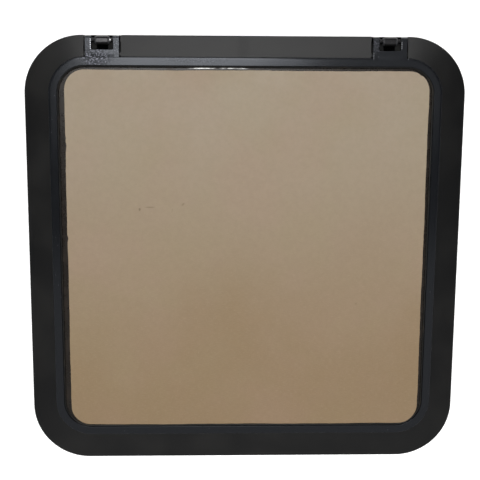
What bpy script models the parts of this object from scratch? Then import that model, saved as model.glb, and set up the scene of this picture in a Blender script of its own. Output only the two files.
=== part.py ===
# Boat escape hatch: a flanged base frame clamped through the deck, and a framed
# acrylic lid on two forked friction hinges, held down by two turning latches.
# Metres. +Z is outboard (up through the deck), +Y is the hinge side.
# z = 0 is the underside of the clamp ring, the hatch's lowest face, and the origin
# is under the middle of the flange's outline.

import math

import bmesh
import bpy
from mathutils import Matrix

# Plan of the hatch
OUTER_SIZE = 0.540            # square that all but the flange's edge is set out from
OUTER_RADIUS = 0.071          # its corner radius; the contours inside it are concentric
FLANGE_SIDE = 0.0042          # how far the flange goes past that square, left and right
FLANGE_FRONT = 0.0084         # and at the latch side; at the hinge side it ends on it
FLANGE_RADIUS = 0.072         # corner radius of the flange's edge
CORNER_STEPS = 6              # flats in each rounded corner
CLEARANCE = 0.0003            # gap between pieces that touch

# Base frame section
DECK_THICK = 0.030            # deck that the hatch is clamped to
GASKET_THICK = 0.0017
GASKET_WIDTH = 0.0122
CLAMP_THICK = 0.004
CLAMP_INSET = 0.004           # clamp ring's outer edge, in from the square
CLAMP_STEP = 0.0005           # shallow step that centres the ring on the spigot
FLANGE_WIDTH = 0.0248         # at the hinge side
FLANGE_EDGE = 0.0026          # thickness at the outer edge
FLANGE_RISE = 0.0049          # how far the top climbs towards the lid
FLANGE_ROUND = 0.0009         # rounding of the flange's two top edges
SPIGOT_WALL = 0.0038
LAND_WIDTH = 0.0192           # shelf under the lid
LAND_THICK = 0.003
LAND_DEPTH = 0.010            # shelf top, below the flange underside
LIP_WIDTH = 0.0035            # raised edge that the seal closes on
LIP_HEIGHT = 0.003

# Lid section
LID_GAP = 0.0014              # running gap between base and lid frame
RIM_WIDTH = 0.0089
RIM_LEG_WIDTH = 0.0053
RIM_RISE = 0.0115             # rim crest above the flange underside
RIM_DROP = 0.005              # rim foot below the flange underside
RIM_ROUND = 0.0022            # rounding of the crest
LEDGE_WIDTH = 0.0119          # shelf that carries the lens
LEDGE_THICK = 0.0023
LEDGE_DROP = 0.002            # ledge underside below the flange underside
BEAD_WIDTH = 0.0032
BEAD_SINK = 0.0005            # bead top below the lens top
LENS_THICK = 0.0095
LENS_ROUND = 0.0006
PAPER_THICK = 0.0003
PAPER_MARGIN = 0.0070         # bare lens left round the outer paper
INNER_PAPER_MARGIN = 0.001    # left round the ledge's inner edge and the lugs
SEAL_WIDTH = 0.008

# Hinges
HINGE_MARGIN = 0.022          # hinge centre, in from the end of the straight side
PIN_INSET = 0.006             # pin axis in from the flange's outer edge
PIN_RISE = 0.006              # pin axis above the flange underside
PIN_RADIUS = 0.0025
PIN_CHAMFER = 0.0005
FORK_WIDTH = 0.042
CHEEK_WIDTH = 0.0084
CHEEK_RADIUS = 0.0057
WEB_END = 0.0165              # where the solid web stops, in from the flange's edge
WEB_TOP = 0.011               # above the flange underside
WEB_BOTTOM = 0.004
BARREL_WIDTH = 0.014
BARREL_RADIUS = 0.0055
BUSH_WALL = 0.0009
BUSH_FLANGE = 0.0015
BUSH_FLANGE_RADIUS = 0.0047
NOTCH_GAP = 0.0009            # side gap between fork and notch
NECK_TOP = 0.0035             # above the flange underside
SET_SCREW_RADIUS = 0.0013

# Latches
LATCH_MARGIN = 0.069          # latch centre, in from the end of the straight side
LATCH_INSET = 0.065           # spindle axis in from the square's latch side
LUG_WIDTH = 0.032
LUG_REACH = 0.015             # lug past the spindle axis, towards the middle
LUG_DEPTH = 0.0083
LUG_BITE = 0.0005             # how far a lug runs into the ledge
POCKET_RADIUS = 0.0068
POCKET_DEPTH = 0.004
SPINDLE_RADIUS = 0.003
SPINDLE_FLATS = 0.0044        # across the flats of its square part
SPINDLE_HEAD_RADIUS = 0.0062
LATCH_BUSH_WALL = 0.0022
LATCH_BUSH_FLANGE = 0.0015
LATCH_BUSH_FLANGE_RADIUS = 0.008
SPACER_RADIUS = 0.0068
TONGUE_HUB_RADIUS = 0.008
TONGUE_THICK = 0.0044
TONGUE_REACH = 0.033
TONGUE_WIDTH = 0.014
LEVER_LENGTH = 0.070
LEVER_HUB_RADIUS = 0.009
LEVER_HUB_HEIGHT = 0.0085
LEVER_ROOT_RADIUS = 0.0072
LEVER_TIP_RADIUS = 0.0062
LEVER_THICK = 0.006
LEVER_ROUND = 0.0014
WASHER_RADIUS = 0.0058
WASHER_THICK = 0.0009
NUT_RADIUS = 0.0052
NUT_THICK = 0.0028
KEEPER_LENGTH = 0.046
KEEPER_WIDTH = 0.0125
KEEPER_THICK = 0.0015
KEEPER_SCREW_SPREAD = 0.034
KEEPER_SCREW_RADIUS = 0.0012
KEEPER_SCREW_HEAD = 0.0025
KEEPER_SCREW_BITE = 0.0022    # thread in the land

# Clamp screws: one at the middle of each side and one near each end of it
CLAMP_SCREW_MARGIN = 0.009    # end screws, in from the end of the straight side
CLAMP_SCREW_RADIUS = 0.0021
CLAMP_SCREW_HEAD = 0.0044
CLAMP_SCREW_DEPTH = 0.014     # thread in each boss
BOSS_RADIUS = 0.0055
BOSS_BITE = 0.0008            # how far a boss runs into the spigot wall

# Heights
Z_SPIGOT = CLAMP_THICK - CLAMP_STEP + CLEARANCE
Z_DECK = CLAMP_THICK + DECK_THICK
Z_GASKET = Z_DECK + GASKET_THICK
Z_FLANGE = Z_GASKET + CLEARANCE
Z_LAND_TOP = Z_FLANGE - LAND_DEPTH
Z_LAND_BOTTOM = Z_LAND_TOP - LAND_THICK
Z_LIP = Z_LAND_TOP + LIP_HEIGHT
Z_LEDGE_BOTTOM = Z_FLANGE - LEDGE_DROP
Z_LEDGE_TOP = Z_LEDGE_BOTTOM + LEDGE_THICK
Z_LENS_BOTTOM = Z_LEDGE_TOP + CLEARANCE
Z_LENS_TOP = Z_LENS_BOTTOM + LENS_THICK
Z_CREST = Z_FLANGE + RIM_RISE
Z_PIN = Z_FLANGE + PIN_RISE
Z_LUG = Z_LEDGE_TOP - LUG_DEPTH
Z_POCKET = Z_LEDGE_TOP - POCKET_DEPTH
Z_KEEPER_TOP = Z_LAND_BOTTOM - CLEARANCE
Z_KEEPER_BOTTOM = Z_KEEPER_TOP - KEEPER_THICK
Z_TONGUE_TOP = Z_KEEPER_BOTTOM - CLEARANCE
Z_TONGUE_BOTTOM = Z_TONGUE_TOP - TONGUE_THICK
Z_LEVER_TOP = Z_TONGUE_BOTTOM - CLEARANCE
Z_LEVER_BOTTOM = Z_LEVER_TOP - LEVER_HUB_HEIGHT

# Insets from the square
SPIGOT_OUT = FLANGE_WIDTH - SPIGOT_WALL
LAND_END = FLANGE_WIDTH + LAND_WIDTH
RIM_OUT = FLANGE_WIDTH + LID_GAP
RIM_IN = RIM_OUT + RIM_WIDTH
LEDGE_END = RIM_IN + LEDGE_WIDTH
BEAD_OUT = RIM_IN + CLEARANCE
BEAD_IN = BEAD_OUT + BEAD_WIDTH
LENS_EDGE = BEAD_IN + CLEARANCE
SEAL_MIDDLE = LAND_END - LIP_WIDTH / 2
BOSS_INSET = FLANGE_WIDTH + BOSS_RADIUS - BOSS_BITE

# Places across the hatch
HALF = OUTER_SIZE / 2
STRAIGHT_END = HALF - OUTER_RADIUS
MIDDLE_Y = FLANGE_FRONT / 2   # middle of the square
HINGE_EDGE = MIDDLE_Y + HALF
LATCH_EDGE = MIDDLE_Y - HALF
PIN_Y = HINGE_EDGE - PIN_INSET
LATCH_Y = LATCH_EDGE + LATCH_INSET
KEEPER_Y = LATCH_EDGE + FLANGE_WIDTH + LAND_WIDTH / 2 + CLEARANCE
HINGES = {"left": HINGE_MARGIN - STRAIGHT_END, "right": STRAIGHT_END - HINGE_MARGIN}
LATCHES = {"left": LATCH_MARGIN - STRAIGHT_END, "right": STRAIGHT_END - LATCH_MARGIN}
KEEPER_SCREWS = [x + side * KEEPER_SCREW_SPREAD / 2 for x in LATCHES.values() for side in (-1, 1)]


def collection(name):
    """A collection in the scene, made when it isn't there yet."""
    found = bpy.data.collections.get(name)
    if found is None:
        found = bpy.data.collections.new(name)
        bpy.context.scene.collection.children.link(found)
    return found


def material(name, colour, metallic, roughness):
    """A Principled material with one colour."""
    mat = bpy.data.materials.new(name)
    mat.use_nodes = True
    shader = mat.node_tree.nodes["Principled BSDF"]
    shader.inputs["Base Color"].default_value = (*colour, 1.0)
    shader.inputs["Metallic"].default_value = metallic
    shader.inputs["Roughness"].default_value = roughness
    mat.diffuse_color = (*colour, 1.0)
    return mat


def place(name, mesh, mat, parent=None, matrix=None):
    """One named part of the hatch, optionally carried by a joint's empty."""
    obj = bpy.data.objects.new(name, mesh)
    if not mesh.materials:
        mesh.materials.append(mat)
    mesh.shade_smooth()
    mesh.set_sharp_from_angle(angle=math.radians(32))
    obj.matrix_world = matrix or Matrix()
    if parent:
        obj.parent = parent
        obj.matrix_parent_inverse = Matrix.Translation(parent.location).inverted()
    collection("boat_escape_hatch").objects.link(obj)
    return obj


def joint_empty(name, x, y, z):
    """An empty on a joint's axis, which carries what moves."""
    empty = bpy.data.objects.new(name, None)
    empty.location = (x, y, z)
    collection("boat_escape_hatch").objects.link(empty)
    return empty


def cutter(name, shapes):
    """Blocks and rods that are only cut away from a part, or joined to it."""
    obj = bpy.data.objects.new(name, solids(name, shapes))
    obj.display_type = "WIRE"
    obj.hide_render = True
    collection("cutters").objects.link(obj)
    return obj


def combine(obj, operation, *tools):
    """Boolean modifiers, in order, with the exact solver."""
    for tool in tools:
        mod = obj.modifiers.new(tool.name, "BOOLEAN")
        mod.operation = operation
        mod.object = tool
        mod.solver = "EXACT"


def soften(obj, width, segments):
    """A small bevel on the sharp edges."""
    mod = obj.modifiers.new("soften", "BEVEL")
    mod.width = width
    mod.segments = segments
    mod.limit_method = "ANGLE"
    mod.angle_limit = math.radians(50)
    mod.use_clamp_overlap = True


def helper(name, data):
    """An object that is only there to be turned into a mesh."""
    obj = bpy.data.objects.new(name, data)
    bpy.context.scene.collection.objects.link(obj)
    return obj


def baked(obj):
    """A helper's evaluated mesh with its seams welded; the helper itself is removed."""
    bpy.context.view_layer.update()
    depsgraph = bpy.context.evaluated_depsgraph_get()
    mesh = bpy.data.meshes.new_from_object(obj.evaluated_get(depsgraph))
    bm = bmesh.new()
    bm.from_mesh(mesh)
    bmesh.ops.remove_doubles(bm, verts=bm.verts, dist=0.00001)
    bmesh.ops.recalc_face_normals(bm, faces=bm.faces)
    bm.to_mesh(mesh)
    bm.free()
    bpy.data.objects.remove(obj)
    return mesh


def closed_curve(name, points):
    """A flat cyclic poly line in the XY plane."""
    curve = bpy.data.curves.new(name, "CURVE")
    curve.dimensions = "2D"
    spline = curve.splines.new("POLY")
    spline.points.add(len(points) - 1)
    for point, (x, y) in zip(spline.points, points):
        point.co = (x, y, 0, 1)
    spline.use_cyclic_u = True
    return helper(name, curve)


def rounded_outline(half_width, back, front, radius):
    """Rounded rectangle between two places on Y. Each corner is a row of flats tangent to
    its arc, so that outlines at different insets stay parallel."""
    step = math.pi / 2 / CORNER_STEPS
    reach = radius / math.cos(step / 2)
    right, high, low = half_width - radius, back - radius, front + radius
    points = []
    for quarter, (x, y) in enumerate(((right, high), (-right, high), (-right, low), (right, low))):
        for index in range(CORNER_STEPS):
            angle = quarter * math.pi / 2 + (index + 0.5) * step
            points.append((x + reach * math.cos(angle), y + reach * math.sin(angle)))
    return points


def rounded_square(inset):
    """Outline at an inset from the square."""
    return rounded_outline(HALF - inset, HINGE_EDGE - inset, LATCH_EDGE + inset, OUTER_RADIUS - inset)


def flange_edge(inset):
    """Outline at an inset from the flange's edge."""
    half_width = HALF + FLANGE_SIDE - inset
    front = LATCH_EDGE - FLANGE_FRONT + inset
    return rounded_outline(half_width, HINGE_EDGE - inset, front, FLANGE_RADIUS - inset)


def loft(name, rows):
    """Outlines with as many points each, joined in order and back to the first one."""
    count = len(rows[0][0])
    vertices = [(x, y, z) for outline, z in rows for x, y in outline]
    faces = []
    for row in range(len(rows)):
        here, there = row * count, (row + 1) % len(rows) * count
        for index in range(count):
            following = (index + 1) % count
            faces.append((here + index, here + following, there + following, there + index))
    mesh = bpy.data.meshes.new(name)
    mesh.from_pydata(vertices, [], faces)
    return baked(helper(name, mesh))


def ring(name, section):
    """A section of (inset, height) points carried round the square's outline."""
    profile = closed_curve(name + "_section", section)
    path = closed_curve(name, rounded_square(0))
    path.data.bevel_mode = "OBJECT"
    path.data.bevel_object = profile
    mesh = baked(path)
    bpy.data.objects.remove(profile)
    return mesh


def plate(name, outline, bottom, top):
    """A flat sheet with the given outline."""
    obj = closed_curve(name, outline)
    obj.data.fill_mode = "BOTH"
    obj.data.extrude = (top - bottom) / 2
    mesh = baked(obj)
    mesh.transform(Matrix.Translation((0, 0, (top + bottom) / 2)))
    return mesh


def turned(name, profile, steps=16):
    """A profile of (radius, height) points, listed from the top down its outer side,
    turned about Z. A profile that does not start on the axis is a closed ring section."""
    mesh = bpy.data.meshes.new(name)
    edges = [(i, i + 1) for i in range(len(profile) - 1)]
    if profile[0][0] > 0:
        edges.append((len(profile) - 1, 0))
    mesh.from_pydata([(radius, 0, height) for radius, height in profile], edges, [])
    obj = helper(name, mesh)
    mod = obj.modifiers.new("turn", "SCREW")
    mod.axis = "Z"
    mod.steps = steps
    mod.render_steps = steps
    mod.use_merge_vertices = True
    mod.merge_threshold = 0.00001
    return baked(obj)


def block(x_range, y_range, z_range):
    """A box, given by its lowest and highest place on each axis."""
    ranges = (x_range, y_range, z_range)
    size = [high - low for low, high in ranges]
    centre = [(high + low) / 2 for low, high in ranges]
    matrix = Matrix.Translation(centre) @ Matrix.Diagonal((*size, 1))
    return lambda bm: bmesh.ops.create_cube(bm, size=1, matrix=matrix)


def rod(axis, centre, length, radius, far_radius=None, sides=16):
    """A cylinder, or a cone when the radius at its far (+) end is given. A rod with four
    sides has its flats square to the axes."""
    turn = Matrix.Rotation(math.pi / 2, 4, "Y") if axis == "X" else Matrix()
    start = Matrix.Rotation(math.pi / 4, 4, "Z") if sides == 4 else Matrix()
    matrix = Matrix.Translation(centre) @ turn @ start
    far = radius if far_radius is None else far_radius
    return lambda bm: bmesh.ops.create_cone(bm, cap_ends=True, segments=sides, radius1=radius,
                                            radius2=far, depth=length, matrix=matrix)


def solids(name, shapes):
    """One mesh holding blocks and rods."""
    bm = bmesh.new()
    for shape in shapes:
        shape(bm)
    mesh = bpy.data.meshes.new(name)
    bm.to_mesh(mesh)
    bm.free()
    return mesh


def capsule(hub_radius, tip_radius, reach):
    """Outline of two circles joined by their tangents: the hub at the origin and the tip
    along +Y, its far point at the given reach."""
    centre = reach - tip_radius
    lean = math.asin((hub_radius - tip_radius) / centre)
    tip_steps, hub_steps = 8, 12
    points = []
    for index in range(tip_steps + 1):
        angle = lean + index * (math.pi - 2 * lean) / tip_steps
        points.append((tip_radius * math.cos(angle), centre + tip_radius * math.sin(angle)))
    for index in range(hub_steps + 1):
        angle = math.pi - lean + index * (math.pi + 2 * lean) / hub_steps
        points.append((hub_radius * math.cos(angle), hub_radius * math.sin(angle)))
    return points


def across(flats):
    """Corner radius of a square with this distance across its flats."""
    return flats / 2 / math.cos(math.pi / 4)


def clamp_screw_places():
    """Middle and two ends of each side, on the line of the screw bosses."""
    line = HALF - BOSS_INSET
    end = STRAIGHT_END - CLAMP_SCREW_MARGIN
    places = []
    for along in (-end, 0, end):
        places += [(along, -line), (line, along), (-along, line), (-line, -along)]
    return [(x, MIDDLE_Y + y) for x, y in places]


def base_frame(mat):
    """Flange, spigot, land and seal lip in one casting, notched for the lid's forks."""
    slope = FLANGE_RISE / FLANGE_WIDTH
    edge_top = Z_FLANGE + FLANGE_EDGE
    edge_rows = [
        (flange_edge(0), Z_FLANGE),
        (flange_edge(0), edge_top - FLANGE_ROUND / 2),
        (flange_edge(FLANGE_ROUND), edge_top + slope * FLANGE_ROUND),
    ]
    section = [
        (FLANGE_WIDTH - FLANGE_ROUND, edge_top + slope * (FLANGE_WIDTH - FLANGE_ROUND)),
        (FLANGE_WIDTH, edge_top + FLANGE_RISE - FLANGE_ROUND),
        (FLANGE_WIDTH, Z_LAND_TOP),
        (LAND_END - LIP_WIDTH, Z_LAND_TOP),
        (LAND_END - LIP_WIDTH, Z_LIP),
        (LAND_END, Z_LIP),
        (LAND_END, Z_LAND_BOTTOM),
        (FLANGE_WIDTH, Z_LAND_BOTTOM),
        (FLANGE_WIDTH, Z_SPIGOT),
        (SPIGOT_OUT, Z_SPIGOT),
        (SPIGOT_OUT, Z_FLANGE),
    ]
    rows = edge_rows + [(rounded_square(inset), z) for inset, z in section]
    obj = place("base_frame", loft("base_frame", rows), mat)

    fork_half = FORK_WIDTH / 2 + NOTCH_GAP
    barrel_half = BARREL_WIDTH / 2
    spigot_y = HINGE_EDGE - SPIGOT_OUT
    neck_top = Z_FLANGE + NECK_TOP
    barrel_bore = PIN_RADIUS + 2 * CLEARANCE + BUSH_WALL
    tap = SET_SCREW_RADIUS + CLEARANCE
    notches, troughs, necks, barrels, bores, taps = [], [], [], [], [], []
    for x in HINGES.values():
        # open right through outside the spigot, and down to the neck's top over its wall
        fork = (x - fork_half, x + fork_half)
        neck = (x - barrel_half, x + barrel_half)
        notches.append(block(fork, (spigot_y + CLEARANCE, HINGE_EDGE + LID_GAP), (Z_LAND_TOP, Z_CREST)))
        troughs.append(block(fork, (HINGE_EDGE - RIM_OUT, spigot_y + 2 * CLEARANCE), (neck_top, Z_CREST)))
        necks.append(block(neck, (HINGE_EDGE - FLANGE_WIDTH + LID_GAP, PIN_Y), (Z_FLANGE, neck_top)))
        barrels.append(rod("X", (x, PIN_Y, Z_PIN), BARREL_WIDTH, BARREL_RADIUS))
        bores.append(rod("X", (x, PIN_Y, Z_PIN), BARREL_WIDTH + 2 * BUSH_FLANGE, barrel_bore))
        taps.append(rod("Z", (x, PIN_Y, Z_PIN + BARREL_RADIUS), 2 * BARREL_RADIUS, tap, sides=12))

    boss_top = Z_LAND_BOTTOM + LAND_THICK / 2
    boss_middle = (boss_top + Z_SPIGOT) / 2
    screw_hole = CLAMP_SCREW_RADIUS + CLEARANCE
    pilot = KEEPER_SCREW_RADIUS + CLEARANCE
    bosses, holes = [], []
    for x, y in clamp_screw_places():
        bosses.append(rod("Z", (x, y, boss_middle), boss_top - Z_SPIGOT, BOSS_RADIUS, sides=12))
        holes.append(rod("Z", (x, y, Z_SPIGOT), 2 * CLAMP_SCREW_DEPTH, screw_hole, sides=12))
    for x in KEEPER_SCREWS:
        holes.append(rod("Z", (x, KEEPER_Y, Z_LAND_BOTTOM), 2 * KEEPER_SCREW_BITE, pilot, sides=10))

    combine(obj, "DIFFERENCE", cutter("hinge_notches", notches), cutter("hinge_troughs", troughs))
    combine(obj, "UNION", cutter("hinge_necks", necks), cutter("hinge_barrels", barrels),
            cutter("screw_bosses", bosses))
    combine(obj, "DIFFERENCE", cutter("barrel_bores", bores), cutter("set_screw_taps", taps),
            cutter("screw_holes", holes))


def deck_gasket(mat):
    """Flat rubber bed between the deck and the flange, close against the spigot."""
    inner = SPIGOT_OUT - CLEARANCE
    outer = inner - GASKET_WIDTH
    section = [(outer, Z_DECK), (outer, Z_GASKET), (inner, Z_GASKET), (inner, Z_DECK)]
    place("deck_gasket", ring("deck_gasket", section), mat)


def clamp_ring(mat):
    """Inside ring that draws the flange down on the deck."""
    chamfer = CLAMP_THICK / 4
    step = SPIGOT_OUT - 2 * CLEARANCE
    section = [
        (CLAMP_INSET, chamfer),
        (CLAMP_INSET, CLAMP_THICK),
        (step, CLAMP_THICK),
        (step, CLAMP_THICK - CLAMP_STEP),
        (LAND_END, CLAMP_THICK - CLAMP_STEP),
        (LAND_END, chamfer),
        (LAND_END - chamfer, 0),
        (CLAMP_INSET + chamfer, 0),
    ]
    obj = place("clamp_ring", ring("clamp_ring", section), mat)
    hole = CLAMP_SCREW_RADIUS + CLEARANCE
    head = CLAMP_SCREW_HEAD + CLEARANCE
    cone = head - hole
    mouth = 2 * CLEARANCE
    holes, cones, mouths = [], [], []
    for x, y in clamp_screw_places():
        holes.append(rod("Z", (x, y, CLAMP_THICK / 2), 2 * CLAMP_THICK, hole, sides=12))
        cones.append(rod("Z", (x, y, mouth + cone / 2), cone, head, hole, sides=12))
        mouths.append(rod("Z", (x, y, 0), 2.1 * mouth, head, sides=12))
    combine(obj, "DIFFERENCE", cutter("clamp_holes", holes), cutter("clamp_cones", cones),
            cutter("clamp_mouths", mouths))


def clamp_screws(mat):
    """Countersunk screws up through the clamp ring into the bosses."""
    low = 2 * CLEARANCE
    neck = low + CLAMP_SCREW_HEAD - CLAMP_SCREW_RADIUS
    top = Z_SPIGOT + CLAMP_SCREW_DEPTH - CLEARANCE
    point = CLAMP_SCREW_RADIUS * 0.7
    profile = [
        (0, top),
        (point, top),
        (CLAMP_SCREW_RADIUS, top - CLAMP_SCREW_RADIUS + point),
        (CLAMP_SCREW_RADIUS, neck),
        (CLAMP_SCREW_HEAD, low),
        (0, low),
    ]
    blank = helper("clamp_screw_blank", turned("clamp_screw", profile, 12))
    socket = rod("Z", (0, 0, low), neck - low, CLAMP_SCREW_RADIUS * 0.8, sides=6)
    combine(blank, "DIFFERENCE", cutter("screw_socket", [socket]))
    mesh = baked(blank)
    for number, (x, y) in enumerate(clamp_screw_places(), 1):
        place(f"clamp_screw_{number:02d}", mesh, mat, matrix=Matrix.Translation((x, y, 0)))


def keepers(steel):
    """Wear plates under the land for the latch tongues, with their countersunk screws."""
    low = Z_KEEPER_BOTTOM + CLEARANCE / 2
    top = Z_LAND_BOTTOM + KEEPER_SCREW_BITE - CLEARANCE
    neck = low + KEEPER_SCREW_HEAD - KEEPER_SCREW_RADIUS
    screw = turned("keeper_screw", [(0, top), (KEEPER_SCREW_RADIUS, top), (KEEPER_SCREW_RADIUS, neck),
                                    (KEEPER_SCREW_HEAD, low), (0, low)], 10)
    hole = KEEPER_SCREW_RADIUS + CLEARANCE
    head = KEEPER_SCREW_HEAD + CLEARANCE
    cone = head - hole
    holes, cones, mouths = [], [], []
    for x in KEEPER_SCREWS:
        holes.append(rod("Z", (x, KEEPER_Y, Z_KEEPER_TOP), 4 * KEEPER_THICK, hole, sides=10))
        cones.append(rod("Z", (x, KEEPER_Y, low + cone / 2), cone, head, hole, sides=10))
        mouths.append(rod("Z", (x, KEEPER_Y, Z_KEEPER_BOTTOM), 1.1 * CLEARANCE, head, sides=10))
    tools = [cutter("keeper_holes", holes), cutter("keeper_cones", cones), cutter("keeper_mouths", mouths)]
    along_y = (KEEPER_Y - KEEPER_WIDTH / 2, KEEPER_Y + KEEPER_WIDTH / 2)
    for side, x in LATCHES.items():
        bar = block((x - KEEPER_LENGTH / 2, x + KEEPER_LENGTH / 2), along_y, (Z_KEEPER_BOTTOM, Z_KEEPER_TOP))
        combine(place("keeper_" + side, solids("keeper", [bar]), steel), "DIFFERENCE", *tools)
    for number, x in enumerate(KEEPER_SCREWS, 1):
        place(f"keeper_screw_{number}", screw, steel, matrix=Matrix.Translation((x, KEEPER_Y, 0)))


def lid_frame(mat, axis):
    """Gloss rim with a rounded crest, the lens ledge, two forked hinge arms and two lugs."""
    shoulder = RIM_ROUND * 0.3
    section = [
        (RIM_OUT, Z_FLANGE - RIM_DROP),
        (RIM_OUT, Z_CREST - RIM_ROUND),
        (RIM_OUT + shoulder, Z_CREST - shoulder),
        (RIM_OUT + RIM_ROUND, Z_CREST),
        (RIM_IN - RIM_ROUND, Z_CREST),
        (RIM_IN - shoulder, Z_CREST - shoulder),
        (RIM_IN, Z_CREST - RIM_ROUND),
        (RIM_IN, Z_LEDGE_TOP),
        (LEDGE_END, Z_LEDGE_TOP),
        (LEDGE_END, Z_LEDGE_BOTTOM),
        (RIM_OUT + RIM_LEG_WIDTH, Z_LEDGE_BOTTOM),
        (RIM_OUT + RIM_LEG_WIDTH, Z_FLANGE - RIM_DROP),
    ]
    obj = place("lid_frame", ring("lid_frame", section), mat, axis)

    fork_half = FORK_WIDTH / 2
    window_half = fork_half - CHEEK_WIDTH
    root = HINGE_EDGE - RIM_OUT - RIM_WIDTH / 2
    web_height = (Z_FLANGE + WEB_BOTTOM, Z_FLANGE + WEB_TOP)
    pin_bore = PIN_RADIUS + CLEARANCE
    arms, cheeks, windows, bores = [], [], [], []
    for x in HINGES.values():
        arms.append(block((x - fork_half, x + fork_half), (root, PIN_Y), web_height))
        cheeks.append(rod("X", (x, PIN_Y, Z_PIN), FORK_WIDTH, CHEEK_RADIUS))
        windows.append(block((x - window_half, x + window_half), (HINGE_EDGE - WEB_END, HINGE_EDGE + LID_GAP),
                             (Z_LAND_TOP, Z_CREST + RIM_ROUND)))
        bores.append(rod("X", (x, PIN_Y, Z_PIN), FORK_WIDTH + CHEEK_WIDTH, pin_bore))

    bush_bore = SPINDLE_RADIUS + 2 * CLEARANCE + LATCH_BUSH_WALL
    lug_ends = (LATCH_EDGE + LEDGE_END - LUG_BITE, LATCH_Y + LUG_REACH)
    lugs, pockets, holes = [], [], []
    for x in LATCHES.values():
        lugs.append(block((x - LUG_WIDTH / 2, x + LUG_WIDTH / 2), lug_ends, (Z_LUG, Z_LEDGE_TOP)))
        pockets.append(rod("Z", (x, LATCH_Y, Z_LEDGE_TOP), 2 * POCKET_DEPTH, POCKET_RADIUS))
        holes.append(rod("Z", (x, LATCH_Y, Z_LUG), 2 * LUG_DEPTH, bush_bore))
    combine(obj, "UNION", cutter("fork_arms", arms), cutter("fork_cheeks", cheeks),
            cutter("latch_lugs", lugs))
    combine(obj, "DIFFERENCE", cutter("fork_windows", windows), cutter("pin_bores", bores),
            cutter("latch_pockets", pockets), cutter("latch_holes", holes))


def lens(mat, axis):
    """Thick acrylic pane with softened edges, resting on the ledge."""
    outline = rounded_square(LENS_EDGE)
    obj = place("lens", plate("lens", outline, Z_LENS_BOTTOM, Z_LENS_TOP), mat, axis)
    soften(obj, LENS_ROUND, 1)


def glazing_bead(mat, axis):
    """Sealant run between the lens edge and the rim."""
    top = Z_LENS_TOP - BEAD_SINK
    section = [(BEAD_OUT, Z_LENS_BOTTOM), (BEAD_OUT, top), (BEAD_IN, top), (BEAD_IN, Z_LENS_BOTTOM)]
    place("glazing_bead", ring("glazing_bead", section), mat, axis)


def masking_papers(mat, axis):
    """The lens's two protective papers, still on. The inner one is cut round the lugs."""
    bottom = Z_LENS_TOP + CLEARANCE
    outline = rounded_square(LENS_EDGE + PAPER_MARGIN)
    place("outer_masking_paper", plate("outer_paper", outline, bottom, bottom + PAPER_THICK), mat, axis)

    top = Z_LENS_BOTTOM - CLEARANCE
    outline = rounded_square(LEDGE_END + INNER_PAPER_MARGIN)
    inner = place("inner_masking_paper", plate("inner_paper", outline, top - PAPER_THICK, top), mat, axis)
    half = LUG_WIDTH / 2 + INNER_PAPER_MARGIN
    ends = (LATCH_EDGE, LATCH_Y + LUG_REACH + INNER_PAPER_MARGIN)
    cuts = [block((x - half, x + half), ends, (Z_LUG, Z_LENS_TOP)) for x in LATCHES.values()]
    combine(inner, "DIFFERENCE", cutter("lug_cuts", cuts))


def lid_seal(mat, axis):
    """Rubber seal under the ledge, rounded where it closes on the base frame's lip."""
    top = Z_LEDGE_BOTTOM - CLEARANCE
    bottom = Z_LIP + CLEARANCE
    half = SEAL_WIDTH / 2
    height = top - bottom
    section = [
        (SEAL_MIDDLE - half, top - height * 0.35),
        (SEAL_MIDDLE - half, top),
        (SEAL_MIDDLE + half, top),
        (SEAL_MIDDLE + half, top - height * 0.35),
        (SEAL_MIDDLE + half * 0.7, bottom + height * 0.2),
        (SEAL_MIDDLE + half * 0.3, bottom),
        (SEAL_MIDDLE - half * 0.3, bottom),
        (SEAL_MIDDLE - half * 0.7, bottom + height * 0.2),
    ]
    place("lid_seal", ring("lid_seal", section), mat, axis)


def hinge_pin():
    """Pin fixed in the fork, a little shorter than the fork is wide."""
    end = FORK_WIDTH / 2 - CLEARANCE
    tip = PIN_RADIUS - PIN_CHAMFER
    return turned("hinge_pin", [(0, end), (tip, end), (PIN_RADIUS, end - PIN_CHAMFER),
                                (PIN_RADIUS, PIN_CHAMFER - end), (tip, -end), (0, -end)])


def hinge_bush():
    """Flanged bush for one end of the barrel; the two stop short of the set screw."""
    inner = PIN_RADIUS + CLEARANCE
    outer = inner + BUSH_WALL
    seat = BARREL_WIDTH / 2 + CLEARANCE
    tail = SET_SCREW_RADIUS + 3 * CLEARANCE
    return turned("hinge_bush", [(inner, seat + BUSH_FLANGE), (BUSH_FLANGE_RADIUS, seat + BUSH_FLANGE),
                                 (BUSH_FLANGE_RADIUS, seat), (outer, seat), (outer, tail), (inner, tail)])


def hinge_set_screw():
    """Grub screw down through the barrel, which presses on the pin for friction."""
    low = PIN_RADIUS + CLEARANCE
    high = BARREL_RADIUS - CLEARANCE
    half = SET_SCREW_RADIUS / 2
    profile = [(0, high), (SET_SCREW_RADIUS, high), (SET_SCREW_RADIUS, low + half), (half, low), (0, low)]
    blank = helper("set_screw_blank", turned("hinge_set_screw", profile, 12))
    socket = rod("Z", (0, 0, high), 2 * SET_SCREW_RADIUS, SET_SCREW_RADIUS * 0.6, sides=6)
    combine(blank, "DIFFERENCE", cutter("set_screw_socket", [socket]))
    return baked(blank)


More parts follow.
